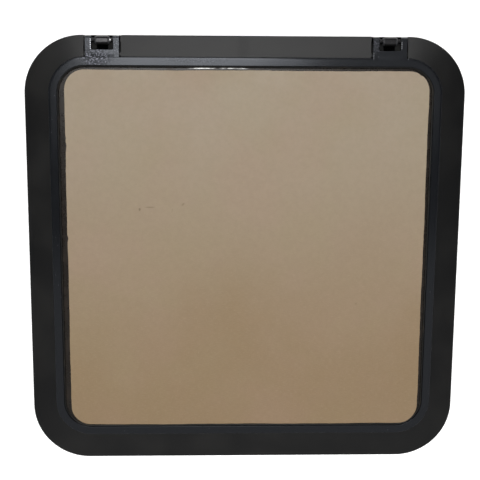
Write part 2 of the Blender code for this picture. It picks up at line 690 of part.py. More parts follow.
def hinges(steel, plastic, axis):
    """Pins that turn with the lid, and the bushes and set screws of the base's barrels."""
    pin, bush, set_screw = hinge_pin(), hinge_bush(), hinge_set_screw()
    to_right = Matrix.Rotation(math.pi / 2, 4, "Y")
    to_left = Matrix.Rotation(-math.pi / 2, 4, "Y")
    for side, x in HINGES.items():
        centre = Matrix.Translation((x, PIN_Y, Z_PIN))
        place("hinge_pin_" + side, pin, steel, axis, centre @ to_right)
        place(f"hinge_bush_{side}_a", bush, plastic, matrix=centre @ to_left)
        place(f"hinge_bush_{side}_b", bush, plastic, matrix=centre @ to_right)
        place("hinge_set_screw_" + side, set_screw, steel, matrix=centre)


def latch_bearings(side, at, plastic, lid_axis, axis):
    """Flanged bush in the lug, and the spacer between its flange and the tongue."""
    bore = SPINDLE_RADIUS + CLEARANCE
    sleeve = bore + LATCH_BUSH_WALL
    flange_top = Z_LUG - CLEARANCE
    flange_bottom = flange_top - LATCH_BUSH_FLANGE
    bush = turned("latch_bush", [(bore, Z_POCKET), (sleeve, Z_POCKET), (sleeve, flange_top),
                                 (LATCH_BUSH_FLANGE_RADIUS, flange_top),
                                 (LATCH_BUSH_FLANGE_RADIUS, flange_bottom), (bore, flange_bottom)])
    place("latch_bush_" + side, bush, plastic, lid_axis, at)
    top = flange_bottom - CLEARANCE
    bottom = Z_TONGUE_TOP + CLEARANCE
    spacer = turned("latch_spacer", [(bore, top), (SPACER_RADIUS, top), (SPACER_RADIUS, bottom),
                                     (bore, bottom)])
    place("latch_spacer_" + side, spacer, plastic, axis, at)


def latch_spindle(side, x, at, steel, axis):
    """Round-headed spindle, square where it drives the tongue and the lever; then its
    washer and nut."""
    thread = (SPINDLE_FLATS - CLEARANCE) / 2
    head_top = Z_LEDGE_TOP - CLEARANCE
    square_top = Z_TONGUE_TOP + CLEARANCE / 2
    square_bottom = Z_LEVER_BOTTOM + LEVER_HUB_HEIGHT / 4
    washer_top = Z_LEVER_BOTTOM - CLEARANCE
    washer_bottom = washer_top - WASHER_THICK
    nut_top = washer_bottom - CLEARANCE
    nut_bottom = nut_top - NUT_THICK
    end = nut_bottom - 3 * CLEARANCE
    spindle = turned("latch_spindle", [
        (0, head_top),
        (SPINDLE_HEAD_RADIUS - 2 * CLEARANCE, head_top),
        (SPINDLE_HEAD_RADIUS, head_top - 2 * CLEARANCE),
        (SPINDLE_HEAD_RADIUS, Z_POCKET + CLEARANCE),
        (SPINDLE_RADIUS, Z_POCKET + CLEARANCE),
        (SPINDLE_RADIUS, square_top),
        (thread, square_top - CLEARANCE),
        (thread, end + 2 * CLEARANCE),
        (thread - 2 * CLEARANCE, end),
        (0, end),
    ])
    square = rod("Z", (x, LATCH_Y, (square_top + square_bottom) / 2), square_top - square_bottom + CLEARANCE,
                 across(SPINDLE_FLATS), sides=4)
    combine(place("latch_spindle_" + side, spindle, steel, axis, at), "UNION",
            cutter("spindle_square_" + side, [square]))

    hole = thread + CLEARANCE
    washer = turned("latch_washer", [(hole, washer_top), (WASHER_RADIUS, washer_top),
                                     (WASHER_RADIUS, washer_bottom), (hole, washer_bottom)])
    place("latch_washer_" + side, washer, steel, axis, at)
    hexagon = rod("Z", (x, LATCH_Y, (nut_top + nut_bottom) / 2), NUT_THICK, NUT_RADIUS, sides=6)
    nut = solids("latch_nut", [hexagon])
    combine(place("latch_nut_" + side, nut, steel, axis), "DIFFERENCE",
            cutter("nut_bore_" + side, [rod("Z", (x, LATCH_Y, nut_top), 4 * NUT_THICK, hole)]))


def latch_tongue_and_lever(side, x, steel, alloy, axis):
    """The cam tongue, which lies along the lid's edge when released, and the hand lever,
    which then points at the hatch's middle. Both are keyed on the spindle's square."""
    key_middle = (x, LATCH_Y, (Z_TONGUE_TOP + Z_LEVER_BOTTOM) / 2)
    key_height = 2 * (Z_TONGUE_TOP - Z_LEVER_BOTTOM)
    key_corner = across(SPINDLE_FLATS + 2 * CLEARANCE)
    key = cutter("square_key_" + side, [rod("Z", key_middle, key_height, key_corner, sides=4)])
    to_spindle = Matrix.Translation((x, LATCH_Y, 0))
    inwards = math.copysign(math.pi / 2, x)
    outline = capsule(TONGUE_HUB_RADIUS, TONGUE_WIDTH / 2, TONGUE_REACH)
    tongue = plate("latch_tongue", outline, Z_TONGUE_BOTTOM, Z_TONGUE_TOP)
    tongue.transform(to_spindle @ Matrix.Rotation(inwards, 4, "Z"))
    combine(place("latch_tongue_" + side, tongue, steel, axis), "DIFFERENCE", key)

    arm_bottom = Z_LEVER_BOTTOM + 2 * CLEARANCE
    outline = capsule(LEVER_ROOT_RADIUS, LEVER_TIP_RADIUS, LEVER_LENGTH)
    arm = plate("latch_lever", outline, arm_bottom, arm_bottom + LEVER_THICK)
    arm.transform(to_spindle)
    lever = place("latch_lever_" + side, arm, alloy, axis)
    soften(lever, LEVER_ROUND, 2)
    hub = rod("Z", (x, LATCH_Y, (Z_LEVER_TOP + Z_LEVER_BOTTOM) / 2), LEVER_HUB_HEIGHT,
              LEVER_HUB_RADIUS * 0.9, LEVER_HUB_RADIUS, sides=20)
    combine(lever, "UNION", cutter("lever_hub_" + side, [hub]))
    combine(lever, "DIFFERENCE", key)


def build():
    """Clears the scene and builds every part of the hatch."""
    for obj in list(bpy.data.objects):
        bpy.data.objects.remove(obj)

    satin = material("satin_black", (0.020, 0.020, 0.020), 0.0, 0.42)
    gloss = material("gloss_black", (0.018, 0.019, 0.021), 0.0, 0.14)
    rubber = material("black_rubber", (0.018, 0.018, 0.018), 0.0, 0.75)
    steel = material("stainless_steel", (0.60, 0.60, 0.61), 1.0, 0.28)
    plastic = material("black_acetal", (0.030, 0.030, 0.033), 0.0, 0.50)
    acrylic = material("smoked_acrylic", (0.030, 0.028, 0.026), 0.0, 0.08)
    kraft = material("kraft_paper", (0.36, 0.30, 0.22), 0.0, 0.85)

    base_frame(satin)
    deck_gasket(rubber)
    clamp_ring(satin)
    clamp_screws(steel)
    keepers(steel)

    lid_axis = joint_empty("lid_axis", 0, PIN_Y, Z_PIN)
    lid_frame(gloss, lid_axis)
    lens(acrylic, lid_axis)
    glazing_bead(rubber, lid_axis)
    masking_papers(kraft, lid_axis)
    lid_seal(rubber, lid_axis)
    hinges(steel, plastic, lid_axis)

    for side, x in LATCHES.items():
        at = Matrix.Translation((x, LATCH_Y, 0))
        axis = joint_empty("latch_axis_" + side, x, LATCH_Y, Z_LUG)
        latch_bearings(side, at, plastic, lid_axis, axis)
        latch_spindle(side, x, at, steel, axis)
        latch_tongue_and_lever(side, x, steel, satin, axis)


build()
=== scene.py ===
import math
from functools import reduce

import bmesh
import bpy
import numpy as np
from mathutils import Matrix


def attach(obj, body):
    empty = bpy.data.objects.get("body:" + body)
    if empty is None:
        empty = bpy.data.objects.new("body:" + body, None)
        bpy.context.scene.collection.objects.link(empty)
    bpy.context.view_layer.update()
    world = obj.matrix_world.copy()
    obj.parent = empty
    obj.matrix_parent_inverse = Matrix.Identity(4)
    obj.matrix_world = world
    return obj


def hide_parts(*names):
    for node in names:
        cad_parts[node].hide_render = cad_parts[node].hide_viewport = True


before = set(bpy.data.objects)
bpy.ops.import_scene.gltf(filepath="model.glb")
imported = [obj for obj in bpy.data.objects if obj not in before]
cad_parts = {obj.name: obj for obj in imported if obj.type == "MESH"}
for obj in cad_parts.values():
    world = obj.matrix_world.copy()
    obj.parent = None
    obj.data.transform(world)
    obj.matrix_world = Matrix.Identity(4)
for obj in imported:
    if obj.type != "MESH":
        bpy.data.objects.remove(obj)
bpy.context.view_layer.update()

# Sizes are in millimetres, and mm turns them into Blender's metres. Shapes are set out from the
# middle of the lid, which is middleY from the origin. An inset is the distance inwards from a
# square with rounded corners; the flange's edge has a wider outline of its own.
mm = 0.001

outline = {
    "halfSide": 270.0,
    "cornerRadius": 71.0,
    "middleY": 4.2,
    "cornerSteps": 30,
    "filletSteps": 7,
}
flangeEdge = {
    "side": 274.2,
    "hingeSide": 270.0,
    "front": 278.4,
    "cornerRadius": 72.0,
    "within": 3.0,        # rows of a section up to this inset follow it
}
straightHalf = outline["halfSide"] - outline["cornerRadius"]
hingeSides = {"left": -177.0, "right": 177.0}
latchSides = {"left": -130.0, "right": 130.0}
latchLine = -205.0


# Camera

camera = {
    "lens": 82.65,
    "place": (-0.0530, 0.2947, 1.4167),
    "turn": (-11.357, -1.902, 0.027),
}


def makeCamera():
    data = bpy.data.cameras.new("photoCamera")
    data.lens = camera["lens"]
    data.sensor_width = 36.0
    data.clip_start = 0.01
    data.clip_end = 50.0
    made = bpy.data.objects.new("photoCamera", data)
    bpy.context.scene.collection.objects.link(made)
    made.rotation_mode = "ZYX"
    made.rotation_euler = [math.radians(angle) for angle in camera["turn"]]
    made.location = camera["place"]
    bpy.context.scene.camera = made


makeCamera()
print("camera is placed")


# Shader wires: a sum on a wire adds the node that works it out

class Wire:
    def __init__(self, tree, socket):
        self.tree = tree
        self.socket = socket

    # any node: its type, its settings, then the values or wires of its sockets
    def node(self, kind, settings=None, sockets=None, output=0):
        made = self.tree.nodes.new("ShaderNode" + kind)
        for name, value in (settings or {}).items():
            setattr(made, name, value)
        for key, value in (sockets or {}).items():
            if isinstance(value, Wire):
                self.tree.links.new(value.socket, made.inputs[key])
            else:
                made.inputs[key].default_value = value
        return Wire(self.tree, made.outputs[output])

    def maths(self, operation, first, second=0.0):
        return self.node("Math", {"operation": operation}, {0: first, 1: second})

    def __add__(self, other):
        return self.maths("ADD", self, other)

    def __radd__(self, other):
        return self.maths("ADD", other, self)

    def __sub__(self, other):
        return self.maths("SUBTRACT", self, other)

    def __rsub__(self, other):
        return self.maths("SUBTRACT", other, self)

    def __mul__(self, other):
        return self.maths("MULTIPLY", self, other)

    def __rmul__(self, other):
        return self.maths("MULTIPLY", other, self)

    def largest(self, other):
        return self.maths("MAXIMUM", self, other)

    def positive(self):
        return self.maths("ABSOLUTE", self)

    # the place on the piece, from a centre, turned and then stretched along each axis
    def mapped(self, centre=(0, 0, 0), scale=(1, 1, 1), turn=0.0):
        moved = self.node("VectorMath", {"operation": "SUBTRACT"}, {0: self, 1: centre})
        sockets = {"Vector": moved, "Rotation": (0, 0, turn), "Scale": scale}
        return moved.node("Mapping", {"vector_type": "POINT"}, sockets)

    # noise with features of a size in millimetres
    def noise(self, size, detail=2.0, roughness=0.5):
        sockets = {"Vector": self, "Scale": 1 / (size * mm), "Detail": detail, "Roughness": roughness}
        return self.node("TexNoise", {"noise_dimensions": "3D"}, sockets)

    # distance to the nearest of scattered points
    def dots(self, size):
        sockets = {"Vector": self, "Scale": 1 / (size * mm)}
        return self.node("TexVoronoi", {"feature": "F1"}, sockets)

    # bottom below low, top above high and a smooth rise between them
    def rise(self, low, high, bottom=0.0, top=1.0):
        sockets = {"Value": self, 1: low, 2: high, 3: bottom, 4: top}
        return self.node("MapRange", {"interpolation_type": "SMOOTHSTEP"}, sockets)

    # 1 where the wire lies between -half and half, fading out over soft beyond it
    def within(self, half, soft):
        return self.positive().rise(half, half + soft, 1.0, 0.0)

    # the same between a start and an end
    def between(self, start, end, soft):
        return (self - (start + end) / 2).within((end - start) / 2, soft)

    def axis(self, name):
        return self.node("SeparateXYZ", None, {0: self}, output="XYZ".index(name))

    # distance from a centre, with each axis measured in its own unit
    def reach(self, centre, unit, turn=0.0):
        near = self.mapped(centre, (1, 1, 1), turn)
        scaled = near.node("VectorMath", {"operation": "DIVIDE"}, {0: near, 1: unit})
        return scaled.node("VectorMath", {"operation": "LENGTH"}, {0: scaled}, output=1)

    # first colour where the wire is 0, second where it is 1
    def colour(self, first, second):
        sockets = {"Factor": self}
        for key, value in ((6, first), (7, second)):
            sockets[key] = value if isinstance(value, Wire) else (*value, 1.0)
        return self.node("Mix", {"data_type": "RGBA", "clamp_factor": True}, sockets, output=2)

    # surface direction tilted by a height that is depth millimetres at 1
    def bump(self, depth, strength=1.0):
        return self.node("Bump", None, {"Height": self, "Distance": depth * mm, "Strength": strength})


# shader holds values of the Principled sockets, and paint makes the wires of those that vary
def makeMaterial(name, shader, paint, source="Object"):
    made = bpy.data.materials.new(name)
    made.use_nodes = True
    tree = made.node_tree
    principled = tree.nodes["Principled BSDF"]
    for socket, value in shader.items():
        principled.inputs[socket].default_value = value
    coordinates = tree.nodes.new("ShaderNodeTexCoord")
    for socket, wire in paint(Wire(tree, coordinates.outputs[source])).items():
        tree.links.new(wire.socket, principled.inputs[socket])
    return made


# Finishes: noise and dots are sized in millimetres, and places on the hatch are in metres, as Blender's are

satinBlack = {
    "deep": (0.0026, 0.0026, 0.0027),
    "worn": (0.0058, 0.0056, 0.0053),
    "dust": (0.035, 0.033, 0.030),
    "cloudSize": 60,
    "speckSize": 9,
    "grain": 0.55,
    "grainDepth": 0.02,
    "roughness": 0.37,
    "seamAt": -0.0038,      # the bent bar's joint, in the middle of the hinge side
    "seamHalf": 0.005,
    # middle, half width, start, bottom and top of each recess under a hinge, mirrored left and right:
    # painted shade, the recess made near black and dull
    "recess": (0.177, 0.0215, 0.2535, 0.0335, 0.0402),
    "recessShade": (0.0012, 0.0011, 0.0011),
    # half width, start and bottom of the top of each barrel, rubbed smooth, and how much on the right; a
    # purplish painted sheen tints these tops, weaker on the right barrel
    "smooth": (0.0072, 0.2635, 0.0464, 0.4),
    "sheenTint": (0.0062, 0.0052, 0.0074),
}


def paintSatin(place):
    look = satinBlack
    x, y, z = place.axis("X"), place.axis("Y"), place.axis("Z")
    cloud = place.noise(look["cloudSize"], 3)
    grain = place.noise(look["grain"], 2, 0.6)
    peel = place.noise(look["grain"] * 5, 1)
    specks = place.dots(look["speckSize"]).rise(0.035, 0.06, 1.0, 0.0) * place.noise(25, 1).rise(0.55, 0.65)
    scratch = place.mapped((0, 0, 0), (1, 14, 1), 0.35).noise(9, 2).rise(0.70, 0.74)
    marks = (specks * 0.7).largest(scratch * 0.2)
    seam = (x - look["seamAt"]).within(look["seamHalf"], look["seamHalf"] * 0.7)
    seam = seam * y.rise(0.22, 0.23) * z.rise(0.037, 0.038)
    middle, half, start, low, high = look["recess"]
    across = x.positive() - middle
    # painted shade: near black in the recess under each hinge, where shade falls
    recessShade = across.within(half, 0.0004) * y.rise(start - 0.001, start)
    recessShade = recessShade * z.rise(low - 0.0005, low) * z.rise(high, high + 0.0008, 1.0, 0.0)
    # the barrel tops are rubbed smooth and tinted purplish as a painted sheen
    half, start, low, onRight = look["smooth"]
    smooth = across.within(half, 0.0004) * y.rise(start, start + 0.0005) * z.rise(low, low + 0.0004)
    smooth = smooth * x.rise(-0.01, 0.01, 1.0, onRight)
    base = cloud.rise(0.35, 0.7).colour(look["deep"], look["worn"])
    base = recessShade.colour(marks.colour(base, look["dust"]), look["recessShade"])
    rough = look["roughness"] + (cloud - 0.5) * 0.1 + scratch * 0.06 + seam * 0.035 + recessShade * 0.5
    return {
        "Base Color": smooth.colour(base, look["sheenTint"]),
        "Roughness": rough - smooth * 0.2,
        "Metallic": recessShade * 0.9,
        "Normal": (grain * 0.7 + peel * 0.3).bump(look["grainDepth"], 0.6),
    }


glossBlack = {
    "deep": (0.0040, 0.0044, 0.0052),
    "dust": (0.07, 0.072, 0.08),
    "roughness": 0.17,
    "peelSize": 3.2,
    "peelDepth": 0.02,
    # centre, reach and strength of each patch of salt: on the hinges, and along the rim
    "salty": (
        ((-0.186, 0.2475, 0.047), (0.026, 0.014, 0.02), 1.0),
        ((-0.060, 0.2445, 0.047), (0.060, 0.006, 0.02), 0.16),
        ((-0.193, 0.262, 0.047), (0.008, 0.014, 0.02), 0.2),
        ((-0.160, 0.260, 0.047), (0.008, 0.016, 0.02), 0.3),
        ((0.160, 0.263, 0.047), (0.006, 0.012, 0.02), 0.5),
    ),
    "salt": (0.12, 0.12, 0.145),
    "saltSize": 2.2,
    # middle, half width, start and end of a dull band between the rim and each hinge window
    "greasy": (0.1765, 0.0125, 0.2470, 0.2508),
    # place, half width, start, end and strength of each painted highlight: a pale line in short dashes along
    # an edge
    "bareEdges": (
        (-0.1907, 0.0007, 0.2570, 0.2700, 1.0),
        (0.1568, 0.0004, 0.2460, 0.2550, 0.16),
        (0.1910, 0.0006, 0.2590, 0.2680, 0.2),
    ),
    "bare": (0.50, 0.51, 0.54),
    "dashRate": 2900,       # radians a metre: one dash in about 2.2 mm
}


def paintGloss(place):
    look = glossBlack
    x, y, z = place.axis("X"), place.axis("Y"), place.axis("Z")
    peel = place.noise(look["peelSize"], 2)
    cloud = place.noise(45, 2)
    near = reduce(Wire.largest, [
        place.reach(centre, unit).rise(0.35, 1.0, 1.0, 0.0) * strength
        for centre, unit, strength in look["salty"]
    ])
    grains = place.dots(look["saltSize"]).rise(0.22, 0.55, 1.0, 0.0)
    salt = grains * place.noise(5, 2).rise(0.35, 0.6, 0.4, 1.0) * near
    dull = (1.0 - grains) * near
    middle, half, start, end = look["greasy"]
    greasy = (x.positive() - middle).within(half, 0.003) * y.between(start, end, 0.001)
    greasy = greasy * place.noise(4, 2).rise(0.3, 0.6, 0.6, 1.0) * x.rise(-0.01, 0.01, 1.0, 0.5)
    dust = place.dots(11).rise(0.03, 0.05, 1.0, 0.0) * 0.5
    # painted highlights: pale dashes along edges of the hinge forks
    bare = reduce(Wire.largest, [
        (x - edge).within(half, 0.0003) * strength * y.between(start, end, 0.0004)
        for edge, half, start, end, strength in look["bareEdges"]
    ])
    waves = y * look["dashRate"]
    bare = bare * waves.maths("SINE", waves).rise(-0.5, 0.4) * z.rise(0.0455, 0.046)
    base = dust.colour(look["deep"], look["dust"])
    rough = look["roughness"] + (cloud - 0.5) * 0.08 + dust * 0.3 + dull * 0.22
    return {
        "Base Color": bare.colour(salt.colour(base, look["salt"]), look["bare"]),
        "Roughness": rough + bare * 0.2 + greasy * 0.2,
        "Normal": (peel + salt * 2.0).bump(look["peelDepth"], 0.5),
    }


rubber = {
    "deep": (0.0035, 0.0035, 0.0035),
    "bloom": (0.011, 0.011, 0.0105),
    "roughness": 0.72,
}


def paintRubber(place):
    cloud = place.noise(22, 4, 0.6)
    grain = place.noise(0.7, 3, 0.6)
    return {
        "Base Color": cloud.rise(0.4, 0.75).colour(rubber["deep"], rubber["bloom"]),
        "Roughness": rubber["roughness"] + (cloud - 0.5) * 0.2,
        "Normal": grain.bump(0.04, 0.6),
    }


sealant = {
    "deep": (0.0045, 0.0043, 0.0040),
    "smear": (0.013, 0.0105, 0.0075),
    "roughness": 0.5,
}


def paintSealant(place):
    drag = place.noise(14, 3, 0.6)
    pit = place.noise(2.2, 2)
    return {
        "Base Color": drag.rise(0.5, 0.8).colour(sealant["deep"], sealant["smear"]),
        "Roughness": sealant["roughness"] + (drag - 0.5) * 0.3,
        "Normal": (drag * 0.8 + pit * 0.2).bump(0.35, 0.5),
    }


acrylic = {
    "tint": (0.0055, 0.0036, 0.0022),
    "haze": (0.013, 0.0085, 0.0055),
    "roughness": 0.26,
    # start, end and edge of a painted highlight: a thin pale glint on the lens margin beside the paper on
    # the hinge side
    "marginGlint": (-0.0740, 0.0040, 0.2347),
    "marginGlintFade": 0.012,
    "marginGlintColour": (0.62, 0.62, 0.60),
}


def paintAcrylic(place):
    haze = place.noise(18, 4, 0.6)
    scratch = place.mapped((0, 0, 0), (1, 20, 1), 0.8).noise(8, 2).rise(0.68, 0.72)
    # painted highlight: a pale, broken line on the lens margin
    start, end, edge = acrylic["marginGlint"]
    fade = acrylic["marginGlintFade"]
    frayed = place.mapped((0, 0, 0), (0.15, 1, 1)).noise(1.6, 3).rise(0.35, 0.55)
    pale = place.axis("X").between(start + fade, end - fade, fade) * frayed
    pale = pale * (place.axis("Y") - edge).within(0.0005, 0.0003)
    base = haze.rise(0.45, 0.8).colour(acrylic["tint"], acrylic["haze"])
    return {
        "Base Color": pale.colour(base, acrylic["marginGlintColour"]),
        "Roughness": acrylic["roughness"] + haze.rise(0.4, 0.8) * 0.1 + scratch * 0.12,
        "Normal": scratch.bump(0.01, 0.4),
    }


kraftPaper = {
    "sheenGrey": (0.224, 0.192, 0.149),       # towards the hinges: painted sheen, lighter and greyer paper where the light's reflection falls
    "brown": (0.168, 0.117, 0.067),      # towards the latches
    "olive": (0.180, 0.135, 0.077),
    "pink": (0.194, 0.131, 0.088),
    "fibre": (0.238, 0.184, 0.124),
    "speck": (0.12, 0.09, 0.055),
    "scuff": (0.085, 0.065, 0.038),
    "roughness": 0.82,
    # centre, half length and half width of each rub mark, its turn in radians and its strength
    "rubs": (
        ((-0.1332, 0.0586, 0.0465), (0.0017, 0.0027, 1.0), 0.1, 1.0),
        ((-0.1203, 0.0614, 0.0465), (0.0082, 0.0009, 1.0), 0.0, 0.75),
        ((-0.0786, 0.0652, 0.0465), (0.0032, 0.0016, 1.0), -0.75, 0.6),
        ((-0.0921, 0.0580, 0.0465), (0.0009, 0.0026, 1.0), 0.0, 0.3),
        ((0.1434, -0.0642, 0.0465), (0.0018, 0.0016, 1.0), 0.0, 0.4),
    ),
}


def paintPaper(place):
    look = kraftPaper
    blotch = place.noise(75, 4, 0.55)
    other = place.mapped((0.3, 0.1, 0), (1, 1, 1)).noise(110, 3, 0.5)
    flow = place.mapped((0, 0, 0), (0.16, 1, 1)).noise(0.8, 5, 0.65)
    cross = place.mapped((0, 0, 0), (1, 0.3, 1), 0.9).noise(1.4, 4, 0.6)
    specks = place.dots(7).rise(0.03, 0.055, 1.0, 0.0) * place.noise(9, 1).rise(0.5, 0.6)
    mottle = place.noise(7, 4, 0.6)
    # painted sheen: brown towards the latches fades to lighter grey towards the hinges
    fade = (place.axis("Y") + (other - 0.5) * 0.25).rise(-0.22, 0.24)
    even = fade.colour(look["brown"], look["sheenGrey"])
    wash = blotch.rise(0.35, 0.65).colour(look["olive"], look["pink"])
    base = other.rise(0.3, 0.7, 0.1, 0.45).colour(even, wash)
    base = (mottle.rise(0.3, 0.7) * 0.12).colour(base, look["speck"])
    base = (flow.rise(0.45, 0.75) * 0.4 + cross.rise(0.5, 0.8) * 0.2).colour(base, look["fibre"])
    base = (specks * 0.55).colour(base, look["speck"])
    rub = reduce(Wire.largest, [
        place.reach(centre, unit, turn).rise(0.4, 1.0, 1.0, 0.0) * strength
        for centre, unit, turn, strength in look["rubs"]
    ])
    frayed = rub * place.noise(0.9, 3).rise(0.15, 0.5)
    return {
        "Base Color": (frayed * 0.75).colour(base, look["scuff"]),
        "Roughness": look["roughness"] + (flow - 0.5) * 0.12,
        "Normal": (flow * 0.6 + cross * 0.4 + blotch * 2.0 - frayed).bump(0.05, 0.7),
    }


stainless = {
    "bright": (0.62, 0.61, 0.59),
    "dull": (0.42, 0.41, 0.40),
    "roughness": 0.26,
}


# rings left by the turning tool: fine along the profile, long round the piece
def paintTurned(place):
    rings = place.mapped((0, 0, 0), (0.05, 1, 1)).noise(0.16, 3, 0.6)
    stain = place.noise(40, 3)
    return {
        "Base Color": stain.rise(0.4, 0.8).colour(stainless["bright"], stainless["dull"]),
        "Roughness": stainless["roughness"] + (rings - 0.5) * 0.22,
        "Normal": rings.bump(0.01, 0.5),
    }


def paintBrushed(place):
    brush = place.mapped((0, 0, 0), (0.05, 1, 1)).noise(0.25, 4, 0.6)
    stain = place.noise(12, 3)
    return {
        "Base Color": stain.rise(0.4, 0.8).colour(stainless["bright"], stainless["dull"]),
        "Roughness": stainless["roughness"] + (brush - 0.5) * 0.25,
        "Normal": brush.bump(0.01, 0.5),
    }


oldPin = {
    "greasy": (0.018, 0.018, 0.020),
    "smeared": (0.05, 0.049, 0.05),
    "pinGlint": (0.55, 0.55, 0.56),
    "pinGlintCentre": (-0.1677, 0.2682, 0.0445),   # painted highlight: a bright spot beside the left barrel, on a pin kept dark elsewhere
    "pinGlintReach": (0.0019, 0.0030, 0.0030),
    "roughness": 0.42,
}


def paintPin(place):
    look = oldPin
    # painted highlight: the pin is bright only at this spot
    pinGlint = place.reach(look["pinGlintCentre"], look["pinGlintReach"]).rise(0.6, 1.0, 1.0, 0.0)
    smear = place.noise(0.8, 3)
    return {
        "Base Color": pinGlint.colour(smear.colour(look["greasy"], look["smeared"]), look["pinGlint"]),
        "Roughness": look["roughness"] + (smear - 0.5) * 0.3 - pinGlint * 0.15,
        "Normal": smear.bump(0.01, 0.4),
    }


acetal = {
    "deep": (0.02, 0.02, 0.022),
    "rubbed": (0.06, 0.06, 0.062),
    "roughness": 0.5,
}


def paintAcetal(place):
    cloud = place.noise(3, 3)
    marks = place.noise(0.35, 3, 0.6)
    return {
        "Base Color": cloud.rise(0.45, 0.8).colour(acetal["deep"], acetal["rubbed"]),
        "Roughness": acetal["roughness"] + (marks - 0.5) * 0.2,
        "Normal": marks.bump(0.01, 0.5),
    }


materials = {
    "satin_black": makeMaterial("satinBlack", {"IOR": 1.5}, paintSatin),
    "gloss_black": makeMaterial(
        "glossBlack", {"IOR": 1.52, "Specular Tint": (0.88, 0.92, 1.0, 1.0)}, paintGloss),
    "rubber": makeMaterial("rubber", {"IOR": 1.45}, paintRubber),
    "sealant": makeMaterial("sealant", {"IOR": 1.42}, paintSealant),
    "acrylic": makeMaterial("smokedAcrylic", {"IOR": 1.49}, paintAcrylic),
    "kraft_paper": makeMaterial("kraftPaper", {"IOR": 1.35, "Sheen Weight": 0.1}, paintPaper),
    "stainless": makeMaterial("brushedStainless", {"Metallic": 1.0}, paintBrushed),
    "acetal": makeMaterial("acetal", {"IOR": 1.48}, paintAcetal),
}
turnedStainless = makeMaterial("turnedStainless", {"Metallic": 1.0}, paintTurned, source="UV")
greasyPin = makeMaterial("greasyPin", {"Metallic": 1.0}, paintPin)
print("materials are made")


# Shapes: each is a grid of points, or a flat outline with two ends

# corners (x, y, radius) of a line or closed shape become points, each corner rounded by a quarter
# ellipse that touches both its edges: P + e1 (1 - sin t) + e2 (1 - cos t), with t from 0 to 90 degrees
def rounded(corners, closed=True):
    table = np.array(corners, float)
    points, radii = table[:, :2], table[:, 2:3]
    before = np.roll(points, 1, axis=0) - points
    after = np.roll(points, -1, axis=0) - points
    if not closed:
        before[0] = after[0]
        after[-1] = before[-1]
    before *= radii / np.linalg.norm(before, axis=1, keepdims=True)
    after *= radii / np.linalg.norm(after, axis=1, keepdims=True)
    t = np.linspace(0, math.pi / 2, outline["filletSteps"])[None, :, None]
    arcs = points[:, None] + before[:, None] * (1 - np.sin(t)) + after[:, None] * (1 - np.cos(t))
    flat = arcs.reshape(-1, 2)
    moved = np.linalg.norm(flat - np.roll(flat, 1, axis=0), axis=1) > 1e-6
    moved[0] = moved[0] or not closed
    return flat[moved]


# the signs of the four corners and the outward directions of their arcs, all the way round
def cornerDirections():
    count = outline["cornerSteps"] + 1
    turn = np.arange(4)[:, None] * math.pi / 2 + np.linspace(0, math.pi / 2, count)[None]
    signs = np.repeat(np.array([(1, 1), (-1, 1), (-1, -1), (1, -1)], float), count, axis=0)
    return signs, np.stack([np.cos(turn).ravel(), np.sin(turn).ravel()], axis=1)


# a section of (inset, height) points carried round: corner centre + (corner radius - inset) direction,
# with the flange's own centres and radius for the rows at its edge
def ringGrid(section, atFlange=False):
    signs, directions = cornerDirections()
    inset = section[:, 0][:, None, None]
    flat = signs * straightHalf + (outline["cornerRadius"] - inset) * directions
    if atFlange:
        radius = flangeEdge["cornerRadius"]
        ends = np.where(signs[:, 1] > 0, flangeEdge["hingeSide"], flangeEdge["front"])
        centres = signs * (np.stack([np.full(len(ends), flangeEdge["side"]), ends], axis=1) - radius)
        flat = np.where(inset < flangeEdge["within"], centres + (radius - inset) * directions, flat)
    height = np.broadcast_to(section[:, 1][:, None, None], (*flat.shape[:2], 1))
    return {"points": np.concatenate([flat, height], axis=2), "closeRows": True}


# a profile of (radius, along, sides) turned about an axis: with sides, the radius is that of a regular
# shape, r cos(half a side) / cos(angle from the middle of a flat), with its corners on the circle
def turnedGrid(profile, centre, axis="Z", closeRows=False, segments=48, start=0.0):
    profile = np.array(profile, float)
    angle = np.arange(segments) * 2 * math.pi / segments
    shape = np.ones((len(profile), segments))
    if profile.shape[1] > 2:
        for sides in (4, 6):
            half = math.pi / sides
            fromFlat = (angle + half) % (2 * half) - half
            shape = np.where(profile[:, 2:3] == sides, math.cos(half) / np.cos(fromFlat), shape)
    radius = profile[:, 0:1] * shape
    along = profile[:, 1:2] * np.ones((1, segments))
    around = (radius * np.cos(angle + start), radius * np.sin(angle + start))
    if axis == "Z":
        points = np.stack([around[0], around[1], along], axis=2)
    else:
        points = np.stack([along, around[0], around[1]], axis=2)
    return {"points": points + np.array(centre, float), "closeRows": closeRows}


# the profile of a plain rod
def rodProfile(radius, low, high):
    return [(0, low), (radius, low), (radius, high), (0, high)]


# four neighbours of a grid make a face; its UV map is the way round, as on a bar 30 mm round,
# and the way along the rows
def gridPart(grid):
    points = grid["points"]
    rows, columns = points.shape[:2]
    i = np.arange(rows if grid["closeRows"] else rows - 1)[:, None]
    j = np.arange(columns)[None]
    low, high = i * columns, (i + 1) % rows * columns
    nextJ = (j + 1) % columns
    faces = np.stack([low + j, low + nextJ, high + nextJ, high + j], axis=-1).reshape(-1, 4)
    steps = np.linalg.norm(np.diff(points, axis=0, append=points[:1]), axis=2).mean(axis=1)
    along = np.concatenate([[0.0], np.cumsum(steps)]) * mm
    unit = 30.0 * mm / columns
    across = np.stack([j, j + 1, j + 1, j], axis=-1) * unit + i[..., None] * 0.0
    upward = np.stack([along[i], along[i], along[i + 1], along[i + 1]], axis=-1) + j[..., None] * 0.0
    uv = np.stack([across, upward], axis=-1).reshape(-1, 2)
    return points.reshape(-1, 3), faces.tolist(), uv


